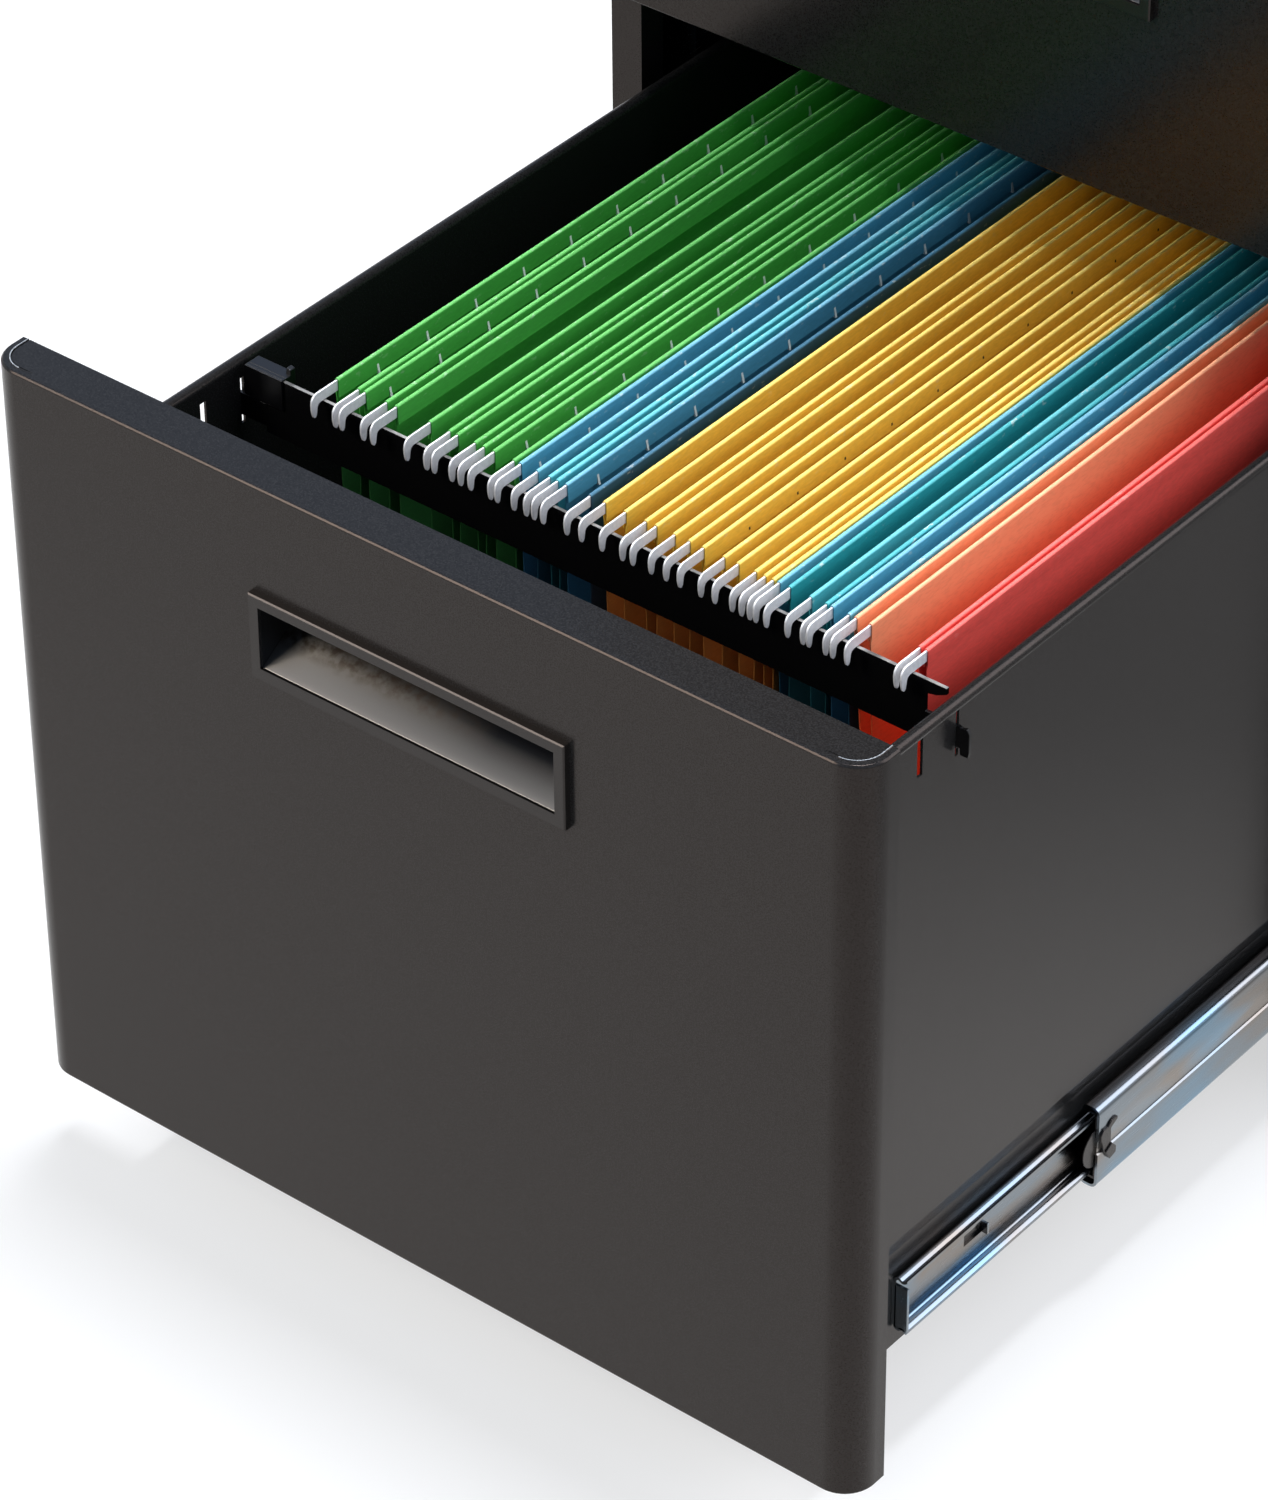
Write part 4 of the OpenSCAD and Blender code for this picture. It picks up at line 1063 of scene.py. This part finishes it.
hook_outline = hook_end(front_y - HOOK_REACH, 1)
hook_outline += list(reversed(hook_end(back_y + HOOK_REACH, -1)))
strips = [(hook_outline, "x", x - STRIP_HALF, x + STRIP_HALF) for places in FOLDERS.values()
          for left, gap, _ in places for x in (left, left + gap)]
hooks = prisms("folder_hook_strips", strips, "hook_steel", "file_drawer", 0.06, 24, 1)
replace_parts(hooks, "folder_hooks")
print("hooks:", 2 * len(strips))

# %% [markdown]
# ## Slides
#
# A slide has three members: one on the drawer, one in the case and one between them, with balls
# in the curled edges. The strip is cold-rolled, so its curls are round. The sections below are
# measured outwards from the drawer side. They follow the strip along its middle, and it gets
# its thickness afterwards. The web of the middle member has a pressed step just below its
# centre, sharp on one side, that slopes back out above.

# %% Slide sections
SLIDE_Z = 29.0
WEB_LOW = (0.6, -1.7)
INNER_UP = [(0.6, 9.9), (0.68, 10.6), (0.95, 11.25), (1.45, 11.7), (2.1, 11.9), (2.7, 11.7),
            (3.2, 11.25), (3.7, 10.95), (4.2, 10.95), (4.7, 11.2), (5.15, 11.65), (5.6, 11.9),
            (5.95, 11.9)]
INNER = [(a, -b) for a, b in reversed(INNER_UP)] + [WEB_LOW, (0.6, 3.3)] + INNER_UP
MID_CURL = [(8.42, 15.6)] + arc(5.9, 15.6, 2.52, 15, 82, 7)
MID_CURL += [(5.0, 18.15), (3.6, 18.13), (2.75, 17.95), (2.25, 17.4), (2.1, 16.6), (2.1, 15.8)]
MID = [(a, -b) for a, b in reversed(MID_CURL)] + [(8.42, -2.95)]
MID += [(7.75, -2.45), (7.8, 0.5), (8.15, 4.5), (8.42, 8.5)] + MID_CURL
print("section points:", len(INNER), len(MID))

# %% [markdown]
# A member is its section pushed along the slide, once on the right and once on the left. The
# file drawer's own member has an opening in its web where a tab is bent out. Its two members
# are one construction piece for each side, and those of the box drawers one for both sides.

# %% Slide members
STRIP = 1.1             # thickness of the rolled strip
END_STEP = 0.6          # length of the first and last quads
inner_low, inner_high = box_mm("file_inner_right")
mid_low, mid_high = box_mm("file_mid_right")
LANCE_Y, LANCE_LEN, LANCE_Z = inner_low.y + 40, 10.5, WEB_LOW[1]


def member(name, sources, body, section, y0, y1, z0, skip=None, stops=()):
    ys = [y0, y0 + END_STEP] + list(stops) + [y1 - END_STEP, y1]
    for s, tag, source in ((1, "_right", sources[0]), (-1, "_left", sources[1])):
        grid = [[(s * (SIDE_X + a), y, z0 + SLIDE_Z + b) for y in ys] for a, b in section]
        piece = sheet(name + tag, grid, "zinc", body, STRIP, skip, angle=40)
        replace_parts(piece, source)


web_row = INNER.index(WEB_LOW)
member("file_drawer_member", ("file_inner_right", "file_inner_left"), "file_drawer", INNER,
       inner_low.y, inner_high.y, FILE_Z, lambda i, j: i == web_row and j == 2,
       (LANCE_Y, LANCE_Y + LANCE_LEN))
member("file_middle_member", ("file_mid_right", "file_mid_left"), "file_mid", MID,
       mid_low.y, mid_high.y, FILE_Z)
for drawer in ("middle", "upper"):
    z0 = box_mm(drawer + "_front")[0].z
    for kind, long_name, body, section in (("_inner", "_drawer_member", "_drawer", INNER),
                                           ("_mid", "_middle_member", "_mid", MID)):
        low, high = box_mm(drawer + kind)
        member(drawer + long_name, (drawer + kind,) * 2, drawer + body, section,
               low.y, high.y, z0)

# %% [markdown]
# The drawer member's near end is bent out into a short plate, whose purpose is a guess, perhaps
# to keep fingers and dirt out. A tab is lanced out of its web and bent up. On the end of the
# middle member sits a black lever, which lets the drawer be lifted out, and the rounded nose of
# the ball cage looks out from behind. The outlines of lever, foot and nose are pushed outwards
# by different amounts.

# %% Slide ends
LEVER = [(10.8, 9.6), (10.8, 8.5), (7.8, 7.1), (6.9, 6.5), (7.0, 0.0), (9.7, -3.4),
         (9.7, -6.4), (5.9, -7.3), (2.4, -1.2), (1.9, 1.1), (0.7, 4.3), (0.7, 6.4),
         (2.3, 8.3), (4.9, 8.1), (6.7, 9.7), (9.2, 10.2)]
FOOT = [(7.0, -0.4), (9.7, -3.4), (9.7, -6.4), (5.9, -7.3), (3.2, -2.6)]
NOSE_R = 8.6
NOSE = [(0.0, NOSE_R)]
NOSE += [(-NOSE_R * math.cos(math.radians(a)), NOSE_R * math.sin(math.radians(a)))
         for a in range(75, -76, -15)]
NOSE += [(0.0, -NOSE_R)]
END_PLATE = [(0, -11.5), (1.2, -11.5), (1.2, 8.5), (0, 8.5)]
BENT_TAB = [(0, LANCE_Z), (1.0, LANCE_Z), (1.0, LANCE_Z + 5), (0, LANCE_Z + 5)]


# An outline at y, pushed outwards between two distances from the drawer side
def end_part(outline, y, s, near, far):
    return (shift(outline, y, FILE_Z + SLIDE_Z), "x",
            *sorted((s * (SIDE_X + near), s * (SIDE_X + far))))


plates, levers, noses = [], [], []
for s in (1, -1):
    plates.append(end_part(END_PLATE, inner_low.y, s, 0.4, 6.2))
    plates.append(end_part(BENT_TAB, LANCE_Y + LANCE_LEN, s, 0.4, 3.8))
    levers.append(end_part(LEVER, mid_low.y, s, 8.0, 9.7))
    levers.append(end_part(FOOT, mid_low.y, s, 9.69, 10.3))
    noses.append(end_part(NOSE, mid_low.y + 1.4, s, 7.0, 7.5))
plate_piece = prisms("file_drawer_member_plates", plates, "zinc", "file_drawer", 0.15)
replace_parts(plate_piece, "file_inner_right", "file_inner_left")
lever_piece = prisms("file_latch_levers", levers, "black_plastic", "file_mid", 0.3)
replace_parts(lever_piece, "file_latches")
prisms("file_cage_noses", noses, "black_plastic", "file_mid", 0.1)
print("levers:", len(levers) // 2, "plates:", len(plates) // 2, "noses:", len(noses))

# %% [markdown]
# ## Floor
#
# The photograph was taken on a white sweep, and there is hardly a shadow on it. A plain white
# floor would keep a dark one, so the floor's own colour is mixed with pure white for what the
# camera sees: 60 per cent near the cabinet, and all of it beyond 2.2 metres.
#
# The painted steel mirrors the floor. In mirror rays the floor is bright in front of the
# cabinet and dims behind it to the right, which makes the drawer's side darker upwards, as it
# is in the photograph.

# %% Floor
FLOOR_HALF = 4000
WHITE_FROM, WHITE_TO, WHITE_NEAR = 0.9, 2.2, 0.6
BACK_RIGHT = (0.57, 0.82, 0.0)
MIRROR_NEAR, MIRROR_FAR, DIM_FROM, DIM_TO = 1.18, 0.5, 0.0, 0.25
floor_mesh = mesh_from("floor", [(-FLOOR_HALF, -FLOOR_HALF, 0), (FLOOR_HALF, -FLOOR_HALF, 0),
                                 (FLOOR_HALF, FLOOR_HALF, 0), (-FLOOR_HALF, FLOOR_HALF, 0)],
                       [[0, 1, 2, 3]], False)
look, tree, floor_shader = material("Studio floor, white matt", "#F4F4F4", 0.9)
floor_mesh.materials.append(look)
rays = node(tree, "ShaderNodeLightPath")
at = place(tree)
away = node(tree, "ShaderNodeVectorMath", {0: at}, operation="LENGTH").outputs["Value"]
behind = node(tree, "ShaderNodeVectorMath", {0: at, 1: BACK_RIGHT},
              operation="DOT_PRODUCT").outputs["Value"]
# For each kind of ray: the share of pure white, and how strongly that white shines
shown = {"Is Camera Ray": (span(tree, away, WHITE_FROM, WHITE_TO, 1.0, WHITE_NEAR), 1.0),
         "Is Glossy Ray": (1.0, span(tree, behind, DIM_FROM, DIM_TO, MIRROR_FAR, MIRROR_NEAR)),
         "Is Transmission Ray": (1.0, 1.0)}
white_part, strength = 0.0, 0.0
for ray, (part, power) in shown.items():
    one = maths(tree, "MULTIPLY", rays.outputs[ray], part)
    white_part = maths(tree, "ADD", one, white_part)
    one = maths(tree, "MULTIPLY", rays.outputs[ray], power)
    strength = maths(tree, "ADD", one, strength)
paper = node(tree, "ShaderNodeEmission", {"Color": tone("#FFFFFF"), "Strength": strength})
mixed = node(tree, "ShaderNodeMixShader", {0: white_part, 1: floor_shader.outputs[0],
                                           2: paper.outputs[0]})
tree.links.new(mixed.outputs[0], tree.nodes["Material Output"].inputs["Surface"])
floor = bpy.data.objects.new("floor", floor_mesh)
bpy.context.collection.objects.link(floor)
print("floor:", 2 * FLOOR_HALF / 1000, "m wide")

# %% [markdown]
# ## World
#
# What the camera and the mirror rays see of the room is white near the horizon and pale blue
# overhead, so the top edges, which mirror the ceiling, look darker and a little blue. The light
# that the room itself gives is weaker, or it would fill every shade.

# %% World
world = bpy.data.worlds.new("studio")
bpy.context.scene.world = world
world.use_nodes = True
tree = world.node_tree
tree.nodes.clear()
rays = node(tree, "ShaderNodeLightPath")
dim = node(tree, "ShaderNodeBackground", {"Color": tone("#CBD9EE"), "Strength": 0.55})
upward = coordinate(tree, generated(tree), "Z")
sweep = blend(tree, span(tree, upward, 0.15, 0.5), tone("#F6F9FF"), tone("#A3BBE0"))
white = node(tree, "ShaderNodeBackground", {"Color": sweep, "Strength": 1.0})
seen = rays.outputs["Is Camera Ray"]
for ray in ("Is Glossy Ray", "Is Transmission Ray"):
    seen = maths(tree, "MAXIMUM", seen, rays.outputs[ray])
both = node(tree, "ShaderNodeMixShader", {0: seen, 1: dim.outputs[0], 2: white.outputs[0]})
node(tree, "ShaderNodeOutputWorld", {"Surface": both.outputs[0]})
print("world:", world.name, "with", len(tree.nodes), "nodes")

# %% [markdown]
# ## Lamps
#
# Three square area lamps light the cabinet. The strongest hangs 2.9 m up over the middle of the
# case and is aimed at the open drawer, so the case shades the rear of the folders. One stands
# at the front left, and the widest behind the cabinet to the right. A wide lamp gives a soft
# shadow and a narrow one a hard shadow.


# %% Lamps
def lamp(name, place_at, aim, size, power, colour):
    data = bpy.data.lights.new(name, "AREA")
    data.shape = "RECTANGLE"
    data.size, data.size_y = size, size
    data.energy = power
    data.color = tone(colour)[:3]
    made = bpy.data.objects.new(name, data)
    made.location = place_at
    made.rotation_euler = (Vector(aim) - Vector(place_at)).to_track_quat("-Z", "Y").to_euler()
    bpy.context.collection.objects.link(made)


LAMPS = {"key": ((-1.8, -2.5, 2.4), (0, -0.3, 0.3), 1.2, 62, "#FFF8EE"),
         "right": ((1.9, 1.75, 2.2), (0.15, -0.3, 0.1), 2.4, 75, "#FBFBFF"),
         "top": ((0.0, 0.15, 2.9), (0, -0.25, 0.3), 0.9, 112, "#F6F9FF")}
for name, settings in LAMPS.items():
    lamp(name, *settings)
print("lamps:", len(LAMPS))
